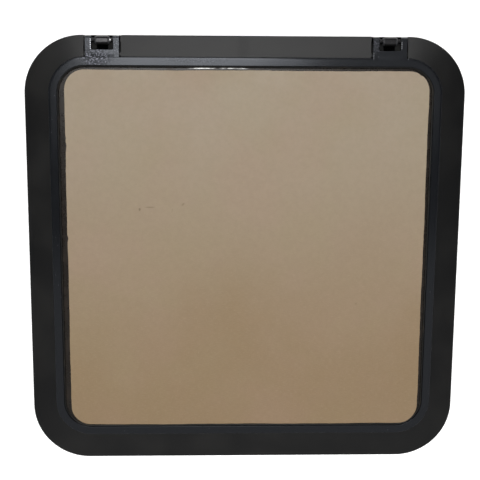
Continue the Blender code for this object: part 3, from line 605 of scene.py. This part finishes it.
# a flat outline carried straight from one end to the other along an axis
def prismPart(flat, low, high, axis="Z", shift=(0, 0, 0)):
    count = len(flat)
    ends = [np.full((count, 1), low), np.full((count, 1), high)]
    if axis == "Z":
        rings = [np.concatenate([flat, end], axis=1) for end in ends]
    else:
        rings = [np.concatenate([end, flat], axis=1) for end in ends]
    sides = np.arange(count)
    after = (sides + 1) % count
    walls = np.stack([sides, after, after + count, sides + count], axis=1).tolist()
    faces = walls + [sides[::-1].tolist(), (sides + count).tolist()]
    loops = 4 * count + 2 * count
    return np.concatenate(rings) + np.array(shift, float), faces, np.zeros((loops, 2))


# parts in millimetres become one object in metres, with doubled points merged and faces outwards
def makeObject(name, parts):
    points, faces, maps, start = [], [], [], 0
    for part in parts:
        found, corners, uv = gridPart(part) if isinstance(part, dict) else part
        points.append(found)
        faces.extend([[index + start for index in face] for face in corners])
        maps.append(uv)
        start += len(found)
    mesh = bpy.data.meshes.new(name)
    moved = np.concatenate(points) + np.array((0, outline["middleY"], 0))
    mesh.from_pydata((moved * mm).tolist(), [], faces)
    layer = mesh.uv_layers.new(name="surface")
    layer.data.foreach_set("uv", np.concatenate(maps).astype(np.float32).ravel())
    work = bmesh.new()
    work.from_mesh(mesh)
    bmesh.ops.remove_doubles(work, verts=work.verts, dist=1e-7)
    bmesh.ops.recalc_face_normals(work, faces=work.faces)
    work.to_mesh(mesh)
    work.free()
    made = bpy.data.objects.new(name, mesh)
    bpy.context.scene.collection.objects.link(made)
    return made


# a block from low to high over a rectangle: half width, near and far side, corner radii there
def makeBlock(name, look, x, y=0):
    (half, near, far, nearRadius, farRadius), low, high = look
    nearCorners = [(-half, near, nearRadius), (half, near, nearRadius)]
    farCorners = [(half, far, farRadius), (-half, far, farRadius)]
    flat = rounded(nearCorners + farCorners)
    return makeObject(name, [prismPart(flat, low, high, shift=(x, y, 0))])


def softenEdges(piece, width, segments=3):
    bevel = piece.modifiers.new("softEdges", "BEVEL")
    bevel.width = width * mm
    bevel.segments = segments
    bevel.limit_method = "ANGLE"
    bevel.angle_limit = math.radians(35)
    return piece


# what the modifiers make of a piece becomes its mesh
def settle(piece):
    seen = piece.evaluated_get(bpy.context.evaluated_depsgraph_get())
    mesh = bpy.data.meshes.new_from_object(seen)
    piece.modifiers.clear()
    old = piece.data
    piece.data = mesh
    bpy.data.meshes.remove(old)


# tools are joined to a piece or cut from it, and then removed
def carve(piece, operation, tools):
    for tool in tools:
        step = piece.modifiers.new("carve", "BOOLEAN")
        step.operation = operation
        step.solver = "EXACT"
        step.object = tool
        settle(piece)
        bpy.data.objects.remove(tool)
    return piece


# edges sharper than the angle, in degrees, stay sharp
def shade(piece, angle):
    mesh = piece.data
    mesh.shade_smooth()
    mesh.set_sharp_from_angle(angle=math.radians(angle))
    weighted = piece.modifiers.new("flatFaces", "WEIGHTED_NORMAL")
    weighted.keep_sharp = True


def finishPiece(piece, body, slot, replaced, material=None, angle=32):
    shade(piece, angle)
    piece.data.materials.clear()
    piece.data.materials.append(material or materials[slot])
    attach(piece, body)
    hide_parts(*replaced)


# Base frame: a sloped flange, a downward wall with bosses, and an inner ledge with a lip

baseFrame = {
    "section": (
        (0, 36, 0.4), (0, 38.6, 1.2), (26.05, 43.6, 0.2), (26.05, 41.5, 0.2), (24.8, 40, 0.4),
        (24.8, 26, 0.5), (40.5, 26, 0.4),
        (40.5, 29, 0.4), (44, 29, 0.4), (44, 23, 0.4), (24.8, 23, 0.6), (24.8, 3.8, 0.3),
        (21, 3.8, 0.3), (21, 36, 0.5),
    ),
    # a block's rectangle, bottom and top
    "notch": ((23.0, 249.3, 280.0, 1.5, 0), 26.0, 60.0),
    "trough": ((23.0, 240.0, 252.0, 0, 0), 39.5, 60.0),
    "web": ((24.5, 261.9, 269.6, 0, 1.0), 34.4, 36.05),     # closes the notch below the barrel
    "barrelFlat": ((9.0, 255.0, 272.0, 0, 0), 47.1, 60.0),
    # outline seen along the hinge, and half width
    "neck": ((246.6, 36, 0), (264, 36, 0), (264, 37.6, 0), (246.6, 37.6, 0)),
    "neckHalf": 7.0,
    # radius and ends
    "barrel": (5.5, -7.0, 7.0),
    "bore": (3.75, -9.0, 9.0),
    "tap": (1.33, 42.0, 48.5),
    "axle": (264.0, 42.0),
    "bossLine": 240.5,
    "boss": (5.5, 3.8, 24.5),
    "bossHole": (2.15, 0, 23.6),
}
alongSide = (-190.0, 0.0, 190.0)
bossSpots = [(along, side * baseFrame["bossLine"]) for side in (1, -1) for along in alongSide]
bossSpots += [(side * baseFrame["bossLine"], along) for side in (1, -1) for along in alongSide]


def rodParts(rod, spots, segments):
    return [turnedGrid(rodProfile(*rod), (x, y, 0), segments=segments) for x, y in spots]


def makeBaseFrame():
    look = baseFrame
    piece = makeObject("baseFrame", [ringGrid(rounded(look["section"]), atFlange=True)])
    y, z = look["axle"]
    half = look["neckHalf"]
    carve(piece, "UNION", [makeObject("boss", rodParts(look["boss"], bossSpots, 40))])
    for x in hingeSides.values():
        carve(piece, "DIFFERENCE", [makeBlock(name, look[name], x) for name in ("notch", "trough")])
        neck = makeObject("neck", [prismPart(rounded(look["neck"]), x - half, x + half, "X")])
        barrel = makeObject("barrel", [turnedGrid(rodProfile(*look["barrel"]), (x, y, z), "X", segments=64)])
        web = makeBlock("web", look["web"], x)
        carve(piece, "UNION", [softenEdges(neck, 0.4), web, softenEdges(barrel, 0.5)])
        flat = makeBlock("barrelFlat", look["barrelFlat"], x)
        bore = makeObject("bore", [turnedGrid(rodProfile(*look["bore"]), (x, y, z), "X")])
        tap = makeObject("tap", rodParts(look["tap"], [(x, y)], 32))
        carve(piece, "DIFFERENCE", [flat, bore, tap])
    carve(piece, "DIFFERENCE", [makeObject("holes", rodParts(look["bossHole"], bossSpots, 32))])
    finishPiece(piece, "base", "satin_black", ["base_frame"])


# Lid frame: a flat rim with soft edges, an inner ledge for the lens, two hinge forks and two latch lugs

lidFrame = {
    "section": (
        (26.2, 31, 0.5), (26.2, 47.25, 0.7), (27.8, 47.5, 1.2), (36.5, 47.5, 0.6),
        (36.5, 36.3, 0.3), (47, 36.3, 0.4), (47, 34, 0.4), (31.5, 34, 0.5), (31.5, 31, 0.5),
    ),
    "forkHalf": 21.0,
    "forkRoot": 239.35,
    "forkTop": 47.0,
    "forkUnder": 40.0,
    "cheek": 5.7,
    "window": ((13.4, 252.8, 280.0, 1.6, 0), 20.0, 70.0),
    "pinBore": (2.62, -30.0, 30.0),
    "lug": ((16.0, -223.9, -190.0, 0, 6.0), 28.0, 36.3),
    # radius and height down the hole of each latch
    "latchHole": ((0, 20), (5.8, 20), (5.8, 32.3), (6.8, 32.3), (6.8, 40), (0, 40)),
}


# the fork seen along the hinge: a plate whose end is round about the pin, and flat on top
def forkShape():
    look = lidFrame
    y, z = baseFrame["axle"]
    radius, top, bottom = look["cheek"], look["forkTop"], look["forkUnder"]
    under = math.atan2(bottom - z, -math.sqrt(radius ** 2 - (z - bottom) ** 2))
    over = math.atan2(top - z, math.sqrt(radius ** 2 - (top - z) ** 2))
    turn = np.linspace(under, over, 40)
    cheek = np.stack([y + radius * np.cos(turn), z + radius * np.sin(turn)], axis=1)
    root = np.array([(look["forkRoot"], top), (look["forkRoot"], bottom)])
    return np.concatenate([root, cheek])


def makeLidFrame():
    look = lidFrame
    piece = makeObject("lidFrame", [ringGrid(rounded(look["section"]))])
    half = look["forkHalf"]
    for x in hingeSides.values():
        fork = makeObject("fork", [prismPart(forkShape(), x - half, x + half, "X")])
        carve(fork, "DIFFERENCE", [makeBlock("window", look["window"], x)])
        settle(softenEdges(fork, 0.75, 4))
        bore = turnedGrid(rodProfile(*look["pinBore"]), (x, *baseFrame["axle"]), "X")
        carve(fork, "DIFFERENCE", [makeObject("pinBore", [bore])])
        carve(piece, "UNION", [fork])
    for x in latchSides.values():
        carve(piece, "UNION", [softenEdges(makeBlock("lug", look["lug"], x), 0.6)])
        hole = makeObject("latchHole", [turnedGrid(look["latchHole"], (x, latchLine, 0))])
        carve(piece, "DIFFERENCE", [hole])
    finishPiece(piece, "lid", "gloss_black", ["lid_frame"])


makeBaseFrame()
print("base frame is made")
makeLidFrame()
print("lid frame is made")


# Plates and strips that follow the outline

plates = {
    "lens": {"inset": 38.9, "low": 36.6, "high": 46.1, "edge": 0.7},
    "innerPaper": {"inset": 48.0, "low": 36.05, "high": 36.3, "edge": 0.05},
    "lugCut": ((17.0, -240.0, -189.0, 0, 3.0), 30.0, 40.0),
}
strips = {
    "deckGasket": ((8.5, 34, 0.5), (20.7, 34, 0.5), (20.7, 35.7, 0.5), (8.5, 35.7, 0.5)),
    "glazingBead": ((36.65, 36.6, 0.3), (36.65, 45.9, 0.4), (38.7, 45.1, 0.4), (38.7, 36.6, 0.3)),
    "lidSeal": ((38.25, 33.7, 0.4), (46.25, 33.7, 0.4), (45.4, 29.3, 2.4), (39.1, 29.3, 2.4)),
    "clampRing": (
        (4, 1, 0.3), (4, 4, 0.5), (20.4, 4, 0.2), (20.4, 3.5, 0.2), (44, 3.5, 0.5), (44, 1, 0.3),
        (43, 0, 0.3), (5, 0, 0.3),
    ),
}


# a plate: a ring that starts and ends inside its edge, closed by one face above and one below
def platePart(low, high, inset, edge, margin=5.0):
    inner = inset + margin
    side = rounded([(inner, low, 0), (inset, low, edge), (inset, high, edge), (inner, high, 0)], False)
    grid = ringGrid(side)
    points, faces, uv = gridPart({"points": grid["points"], "closeRows": False})
    columns = grid["points"].shape[1]
    top = np.arange(columns) + (len(side) - 1) * columns
    faces = faces + [np.arange(columns)[::-1].tolist(), top.tolist()]
    return points, faces, np.concatenate([uv, np.zeros((2 * columns, 2))])


def makePlates():
    lens = makeObject("lens", [platePart(**plates["lens"])])
    finishPiece(lens, "lid", "acrylic", ["lens"])
    inner = makeObject("innerMaskingPaper", [platePart(**plates["innerPaper"])])
    cuts = [makeBlock("lugCut", plates["lugCut"], x) for x in latchSides.values()]
    finishPiece(carve(inner, "DIFFERENCE", cuts), "lid", "kraft_paper", ["inner_masking_paper"])
    gasket = makeObject("deckGasket", [ringGrid(rounded(strips["deckGasket"]))])
    finishPiece(gasket, "base", "rubber", ["deck_gasket"])
    bead = makeObject("glazingBead", [ringGrid(rounded(strips["glazingBead"]))])
    finishPiece(bead, "lid", "sealant", ["glazing_bead"])
    seal = makeObject("lidSeal", [ringGrid(rounded(strips["lidSeal"]))])
    finishPiece(seal, "lid", "rubber", ["lid_seal"])


makePlates()
print("lens, bead and seals are made")


# Masking paper on the lens: cut by hand, so its edge wanders and sits a little off centre

outerPaper = {
    "centre": (1.6, -1.3),
    "half": (225.9, 229.3),
    "cornerRadius": 24.8,
    "low": 46.15,
    "high": 46.4,
    "wander": 0.225,
    "waveHeight": 0.05,
    "cornerSteps": 25,
    "sideSteps": 90,
    "rings": 70,
    # place on the edge and depth of each small nick
    "nicks": (
        (217.5, 225.0, 2.4), (-224.5, 145.6, 1.5), (-224.5, 135.5, 1.2), (-224.8, 131.9, 1.5),
        (-224.8, 16.5, 1.2), (34.0, 228.9, 0.7),
    ),
    "nickReach": 1.6,
}


# a rounded rectangle's points and outward directions, its straight sides divided evenly
def sheetEdge(look):
    radius = look["cornerRadius"]
    turn = np.arange(4)[:, None] * math.pi / 2 + np.linspace(0, math.pi / 2, look["cornerSteps"])[None]
    signs = np.array([(1, 1), (-1, 1), (-1, -1), (1, -1)], float)
    corner = signs[:, None] * (np.array(look["half"]) - radius)
    directions = np.stack([np.cos(turn), np.sin(turn)], axis=2)
    arcs = corner + radius * directions
    ahead = np.roll(arcs[:, 0], -1, axis=0)
    share = np.linspace(0, 1, look["sideSteps"] + 1)[1:-1][None, :, None]
    sides = arcs[:, -1:] + (ahead[:, None] - arcs[:, -1:]) * share
    outward = np.broadcast_to(directions[:, -1:], sides.shape)
    edge = np.concatenate([arcs, sides], axis=1).reshape(-1, 2)
    return edge, np.concatenate([directions, outward], axis=1).reshape(-1, 2)


# the sheet shrinks from its edge to a middle point: middle + share (edge - middle); sums of sines let
# its edge wander and raise its low waves, and a nick is depth e^-(distance / reach)^2
def makeOuterPaper():
    look = outerPaper
    edge, outward = sheetEdge(look)
    centre = np.array(look["centre"])
    along = np.cumsum(np.linalg.norm(edge - np.roll(edge, 1, axis=0), axis=1))
    wander = np.sin(along / 31.0) + 0.6 * np.sin(along / 11.7 + 1.0) + 0.35 * np.sin(along / 3.9 + 2.0)
    edge = edge + outward * (wander * look["wander"])[:, None] + centre
    for x, y, depth in look["nicks"]:
        away = np.linalg.norm(edge - np.array((x, y)), axis=1)
        edge = edge - outward * (depth * np.exp(-(away / look["nickReach"]) ** 2))[:, None]
    share = 1 - np.linspace(0, 1, look["rings"])
    top = centre + share[:, None, None] * (edge - centre)
    x, y = top[..., 0], top[..., 1]
    wave = np.sin(x / 47 + y / 83) + np.sin(y / 39 - x / 120) + 0.5 * np.sin(x / 21 + 2) * np.sin(y / 25)
    lifted = look["high"] + look["waveHeight"] * wave
    topRows = np.concatenate([top, lifted[..., None]], axis=2)
    under = np.concatenate([top[::-1], np.full((*top.shape[:2], 1), look["low"])], axis=2)
    grid = {"points": np.concatenate([under, topRows]), "closeRows": False}
    paper = makeObject("outerMaskingPaper", [grid])
    finishPiece(paper, "lid", "kraft_paper", ["outer_masking_paper"], angle=60)


makeOuterPaper()
print("outer paper is made")


# Hinge pins, bushes and set screws

hinge = {
    # radius, place along the hinge and rounding
    "pin": ((0, -20.7, 0), (2.5, -20.7, 0.6), (2.5, 20.7, 0.6), (0, 20.7, 0)),
    "bush": (
        (2.62, 2.4, 0.2), (3.7, 2.4, 0.3), (3.7, 7.25, 0), (4.7, 7.25, 0.2), (4.7, 8.8, 0.4),
        (2.62, 8.8, 0.2),
    ),
    # radius, height and number of sides
    "setScrew": (
        (0, 46.95, 0), (0.4, 46.95, 6), (0.5, 47.05, 6), (1.2, 47.05, 0), (1.3, 46.95, 0), (1.3, 45.3, 0),
        (0.8, 44.8, 0), (0, 44.8, 0),
    ),
}


def makeHinges():
    y, z = baseFrame["axle"]
    for side, x in hingeSides.items():
        name = side.capitalize()
        pin = makeObject("hingePin" + name, [turnedGrid(rounded(hinge["pin"], False), (x, y, z), "X")])
        finishPiece(pin, "lid", "stainless", ["hinge_pin_" + side], greasyPin)
        for end, sign in (("A", -1), ("B", 1)):
            profile = rounded(hinge["bush"]) * np.array((1, sign))
            bush = makeObject("hingeBush" + name + end, [turnedGrid(profile, (x, y, z), "X", True)])
            finishPiece(bush, "base", "acetal", ["hinge_bush_" + side + "_" + end.lower()])
        screw = makeObject("hingeSetScrew" + name, [turnedGrid(hinge["setScrew"], (x, y, 0))])
        finishPiece(screw, "base", "stainless", ["hinge_set_screw_" + side], materials["satin_black"])


makeHinges()
print("hinges are made")


# Clamp ring and its twelve countersunk screws, under the deck

clamp = {
    # radius, height and number of sides
    "hole": ((0, -1, 0), (4.7, -1, 0), (4.7, 0.6, 0), (2.3, 3.0, 0), (2.3, 6, 0), (0, 6, 0)),
    # the head, from the bottom of its hexagon socket to the start of the thread
    "head": (
        (0, 2.2, 0), (1.6, 2.2, 6), (1.6, 0.75, 6), (1.8, 0.6, 0), (4.2, 0.6, 0), (4.4, 0.75, 0),
        (2.1, 3.1, 0),
    ),
    "turnStep": 0.61,       # radians from one screw to the next, so no two sockets end up turned alike
    "thread": (3.6, 16.8),
    "pitch": 0.7,
    "shank": 2.1,
    "threadDepth": 0.32,
    "tip": ((1.75, 17.3, 0), (1.5, 17.5, 0), (0, 17.5, 0)),
}


# a screw's grid: head rows, then a thread whose radius falls and rises by a triangle wave of
# height / pitch - turn / 360, so that its ridge climbs one pitch a turn, then the tip's rows
def screwGrid(look, centre, start, segments=24):
    low, high = look["thread"]
    heights = np.linspace(low, high, int((high - low) / look["pitch"] * 4))
    head = turnedGrid(look["head"], (0, 0, 0), segments=segments)["points"]
    tip = turnedGrid(look["tip"], (0, 0, 0), segments=segments)["points"]
    angle = np.arange(segments) * 2 * math.pi / segments
    phase = (heights[:, None] / look["pitch"] - angle[None] / (2 * math.pi)) % 1.0
    fade = np.minimum(1.0, (heights - low) / look["pitch"])[:, None]
    radius = look["shank"] - look["threadDepth"] * np.abs(2 * phase - 1) * fade
    climb = heights[:, None] * np.ones((1, segments))
    thread = np.stack([radius * np.cos(angle), radius * np.sin(angle), climb], axis=2)
    points = np.concatenate([head, thread, tip])
    turned = np.array(((math.cos(start), -math.sin(start)), (math.sin(start), math.cos(start))))
    points[..., :2] = points[..., :2] @ turned.T
    return {"points": points + np.array(centre, float), "closeRows": False}


def makeClamp():
    ring = makeObject("clampRing", [ringGrid(rounded(strips["clampRing"]))])
    line = baseFrame["bossLine"]
    spots = []
    for along in alongSide:
        spots += [(along, -line), (line, along), (-along, line), (-line, -along)]
    holes = makeObject("clampHoles", [turnedGrid(clamp["hole"], (x, y, 0), segments=40) for x, y in spots])
    finishPiece(carve(ring, "DIFFERENCE", [holes]), "base", "satin_black", ["clamp_ring"])
    for number, (x, y) in enumerate(spots, 1):
        grid = screwGrid(clamp, (x, y, 0), clamp["turnStep"] * number)
        screw = makeObject(f"clampScrew{number:02d}", [grid])
        finishPiece(screw, "base", "stainless", [f"clamp_screw_{number:02d}"], turnedStainless)


makeClamp()
print("clamp ring and screws are made")


# Keepers under the ledge, each held by two screws

keeper = {
    "centreY": -235.3,
    "bar": ((23.0, -6.25, 6.25, 2.5, 2.5), 21.2, 22.7),
    "screwSpread": 17.0,
    "turnStep": 0.8,
    # radius, height and number of sides
    "hole": ((0, 20, 0), (2.8, 20, 0), (2.8, 21.4, 0), (1.5, 22.7, 0), (1.5, 24, 0), (0, 24, 0)),
    "screw": (
        (0, 22.3, 0), (1.0, 22.3, 6), (1.0, 21.45, 6), (1.1, 21.35, 0), (2.35, 21.35, 0), (2.5, 21.5, 0),
        (1.2, 22.8, 0), (1.2, 24.7, 0), (1.0, 24.9, 0), (0, 24.9, 0),
    ),
}


def makeKeepers():
    y, spread = keeper["centreY"], keeper["screwSpread"]
    number = 0
    for side, x in latchSides.items():
        bar = makeBlock("keeper" + side.capitalize(), keeper["bar"], x, y)
        settle(softenEdges(bar, 0.25))
        spots = [x - spread, x + spread]
        holes = [turnedGrid(keeper["hole"], (spot, y, 0), segments=32) for spot in spots]
        carve(bar, "DIFFERENCE", [makeObject("keeperHoles", holes)])
        finishPiece(bar, "base", "stainless", ["keeper_" + side])
        for spot in spots:
            number += 1
            start = keeper["turnStep"] * number
            grid = turnedGrid(keeper["screw"], (spot, y, 0), segments=24, start=start)
            screw = makeObject(f"keeperScrew{number}", [grid])
            finishPiece(screw, "base", "stainless", [f"keeper_screw_{number}"], turnedStainless)


makeKeepers()
print("keepers are made")


# Latches: a spindle in a flanged bush, a spacer, a tongue, a hand lever, a washer and a nut

latch = {
    # radius, height and rounding
    "bush": (
        (3.2, 32.3, 0.2), (5.6, 32.3, 0.4), (5.6, 27.7, 0), (8, 27.7, 0.2), (8, 26.2, 0.5),
        (3.2, 26.2, 0.2),
    ),
    "spacer": ((3.2, 25.9, 0.2), (6.8, 25.9, 0.4), (6.8, 21.2, 0.4), (3.2, 21.2, 0.2)),
    "washer": ((2.3, 7.4, 0.05), (5.8, 7.4, 0.15), (5.8, 6.5, 0.25), (2.3, 6.5, 0.1)),
    # radius, height and number of sides
    "nut": (
        (2.3, 6.2, 0), (4.5, 6.2, 0), (5.2, 5.8, 6), (5.2, 3.8, 6), (4.5, 3.4, 0), (2.6, 3.4, 0),
        (2.3, 3.7, 0),
    ),
    "spindle": (
        (0, 35.9, 0), (3.5, 36.0, 0), (5.6, 35.9, 0), (6.05, 35.7, 0), (6.2, 35.3, 0), (6.2, 32.8, 0),
        (6.0, 32.6, 0), (3.0, 32.6, 0), (3.0, 21.2, 0), (3.08, 21.0, 4), (3.08, 10.1, 4), (2.05, 9.8, 0),
        (2.05, 2.9, 0), (1.7, 2.5, 0), (0, 2.5, 0),
    ),
    "key": ((0, 0, 0), (3.3, 0, 4), (3.3, 30, 4), (0, 30, 0)),
    # hub radius, tip radius and reach of the tongue and the lever, and their heights
    "tongue": (8.0, 7.0, 33.0, 16.5, 20.9),
    "lever": (7.2, 6.2, 70.0, 8.3, 14.3),
    "leverHub": (
        (0, 7.7, 0), (7.5, 7.7, 0), (8.1, 8.0, 0), (8.3, 8.6, 0), (8.9, 15.5, 0), (8.7, 16.0, 0),
        (8.2, 16.2, 0), (0, 16.2, 0),
    ),
}


# two circles joined by their tangents: the hub at the middle and the tip ahead along Y;
# the tangents lean by asin((hub - tip) / distance)
def tapered(hub, tip, reach):
    ahead = reach - tip
    lean = math.asin((hub - tip) / ahead)
    tipTurn = np.linspace(lean, math.pi - lean, 25)
    hubTurn = np.linspace(math.pi - lean, 2 * math.pi + lean, 33)
    tipArc = np.stack([tip * np.cos(tipTurn), ahead + tip * np.sin(tipTurn)], axis=1)
    hubArc = np.stack([hub * np.cos(hubTurn), hub * np.sin(hubTurn)], axis=1)
    return np.concatenate([tipArc, hubArc])


def makeLatch(side, x):
    name, centre, body = side.capitalize(), (x, latchLine, 0), "latch_" + side

    def ringPiece(part, profile):
        return makeObject("latch" + part + name, [turnedGrid(profile, centre, closeRows=True)])

    bush = ringPiece("Bush", rounded(latch["bush"]))
    finishPiece(bush, "lid", "acetal", ["latch_bush_" + side])
    spacer = ringPiece("Spacer", rounded(latch["spacer"]))
    finishPiece(spacer, body, "acetal", ["latch_spacer_" + side])
    spindle = makeObject("latchSpindle" + name, [turnedGrid(latch["spindle"], centre)])
    finishPiece(spindle, body, "stainless", ["latch_spindle_" + side], turnedStainless)
    washer = ringPiece("Washer", rounded(latch["washer"]))
    finishPiece(washer, body, "stainless", ["latch_washer_" + side], turnedStainless)
    nut = ringPiece("Nut", latch["nut"])
    finishPiece(nut, body, "stainless", ["latch_nut_" + side], turnedStainless)

    # released, the tongue lies along the lid's edge and points at the other latch
    inwards = -math.copysign(1.0, x)
    hub, tip, reach, low, high = latch["tongue"]
    shape = tapered(hub, tip, reach)
    turned = np.stack([inwards * shape[:, 1], -inwards * shape[:, 0]], axis=1)
    tongue = makeObject("latchTongue" + name, [prismPart(turned, low, high, shift=centre)])
    settle(softenEdges(tongue, 0.7, 4))
    carve(tongue, "DIFFERENCE", [makeObject("key", [turnedGrid(latch["key"], centre)])])
    finishPiece(tongue, body, "stainless", ["latch_tongue_" + side])

    hub, tip, reach, low, high = latch["lever"]
    lever = makeObject("latchLever" + name, [prismPart(tapered(hub, tip, reach), low, high, shift=centre)])
    settle(softenEdges(lever, 2.0, 6))
    carve(lever, "UNION", [makeObject("leverHub", [turnedGrid(latch["leverHub"], centre, segments=64)])])
    carve(lever, "DIFFERENCE", [makeObject("key", [turnedGrid(latch["key"], centre)])])
    finishPiece(lever, body, "satin_black", ["latch_lever_" + side])


for side, x in latchSides.items():
    makeLatch(side, x)
print("latches are made")


# Studio: a pale floor, softboxes above the hatch and a weak even sky

studio = {
    "floorSize": 30.0,
    "floor": (0.9, 0.9, 0.9),
    "floorDull": (0.88, 0.88, 0.88),
    "floorGlow": 0.35,
    "sky": 0.04,
    # a softbox over the rim and the hinges; places and sizes of all are in metres
    "key": {"place": (-0.11, 0.34, 1.45), "size": (0.54, 0.52), "radiance": 4.6, "glossy": True},
    # wide and low behind the hinge side, for its sloping flange
    "back": {"place": (0.1, 0.95, 1.35), "size": (1.2, 0.5), "radiance": 2.35, "glossy": True},
    # weak and wide, over the latch side
    "front": {"place": (0.05, -1.1, 1.5), "size": (2.7, 1.7), "radiance": 0.36, "glossy": True},
    # weak, for the right end of the rim at the hinges
    "right": {"place": (0.42, 0.2, 1.45), "size": (0.44, 0.3), "radiance": 0.32, "glossy": True},
    # even light from above that no gloss mirrors
    "fill": {"place": (0.0, 0.0, 2.2), "size": (2.4, 2.4), "radiance": 4.6, "glossy": False},
}


def paintFloor(place):
    cloud = place.noise(400, 2)
    return {
        "Base Color": cloud.colour(studio["floor"], studio["floorDull"]),
        "Roughness": 0.85 + cloud * 0.05,
    }


def makeLight(name, look):
    data = bpy.data.lights.new(name, "AREA")
    data.shape = "RECTANGLE"
    data.size, data.size_y = look["size"]
    # an area lamp's power is its radiance times pi times its area
    data.energy = look["radiance"] * math.pi * look["size"][0] * look["size"][1]
    lamp = bpy.data.objects.new(name, data)
    bpy.context.scene.collection.objects.link(lamp)
    lamp.location = look["place"]
    # turned to face the hatch
    back = np.array(look["place"]) / np.linalg.norm(look["place"])
    lamp.rotation_mode = "XYZ"
    lamp.rotation_euler = (math.acos(back[2]), 0.0, math.atan2(back[0], -back[1]))
    lamp.visible_glossy = look["glossy"]


def makeStudio():
    half = studio["floorSize"] / 2
    corners = [(-half, -half, 0), (half, -half, 0), (half, half, 0), (-half, half, 0)]
    mesh = bpy.data.meshes.new("floor")
    mesh.from_pydata(corners, [], [(0, 1, 2, 3)])
    glow = {"Emission Color": (1, 1, 1, 1), "Emission Strength": studio["floorGlow"]}
    mesh.materials.append(makeMaterial("paleFloor", glow, paintFloor))
    floor = bpy.data.objects.new("floor", mesh)
    bpy.context.scene.collection.objects.link(floor)
    world = bpy.data.worlds.new("sky")
    world.use_nodes = True
    background = world.node_tree.nodes["Background"]
    background.inputs["Color"].default_value = (1, 1, 1, 1)
    background.inputs["Strength"].default_value = studio["sky"]
    bpy.context.scene.world = world
    for name in ("key", "back", "front", "right", "fill"):
        makeLight(name + "Softbox", studio[name])
    bpy.context.scene.view_settings.view_transform = "Standard"


makeStudio()
print("studio is made")
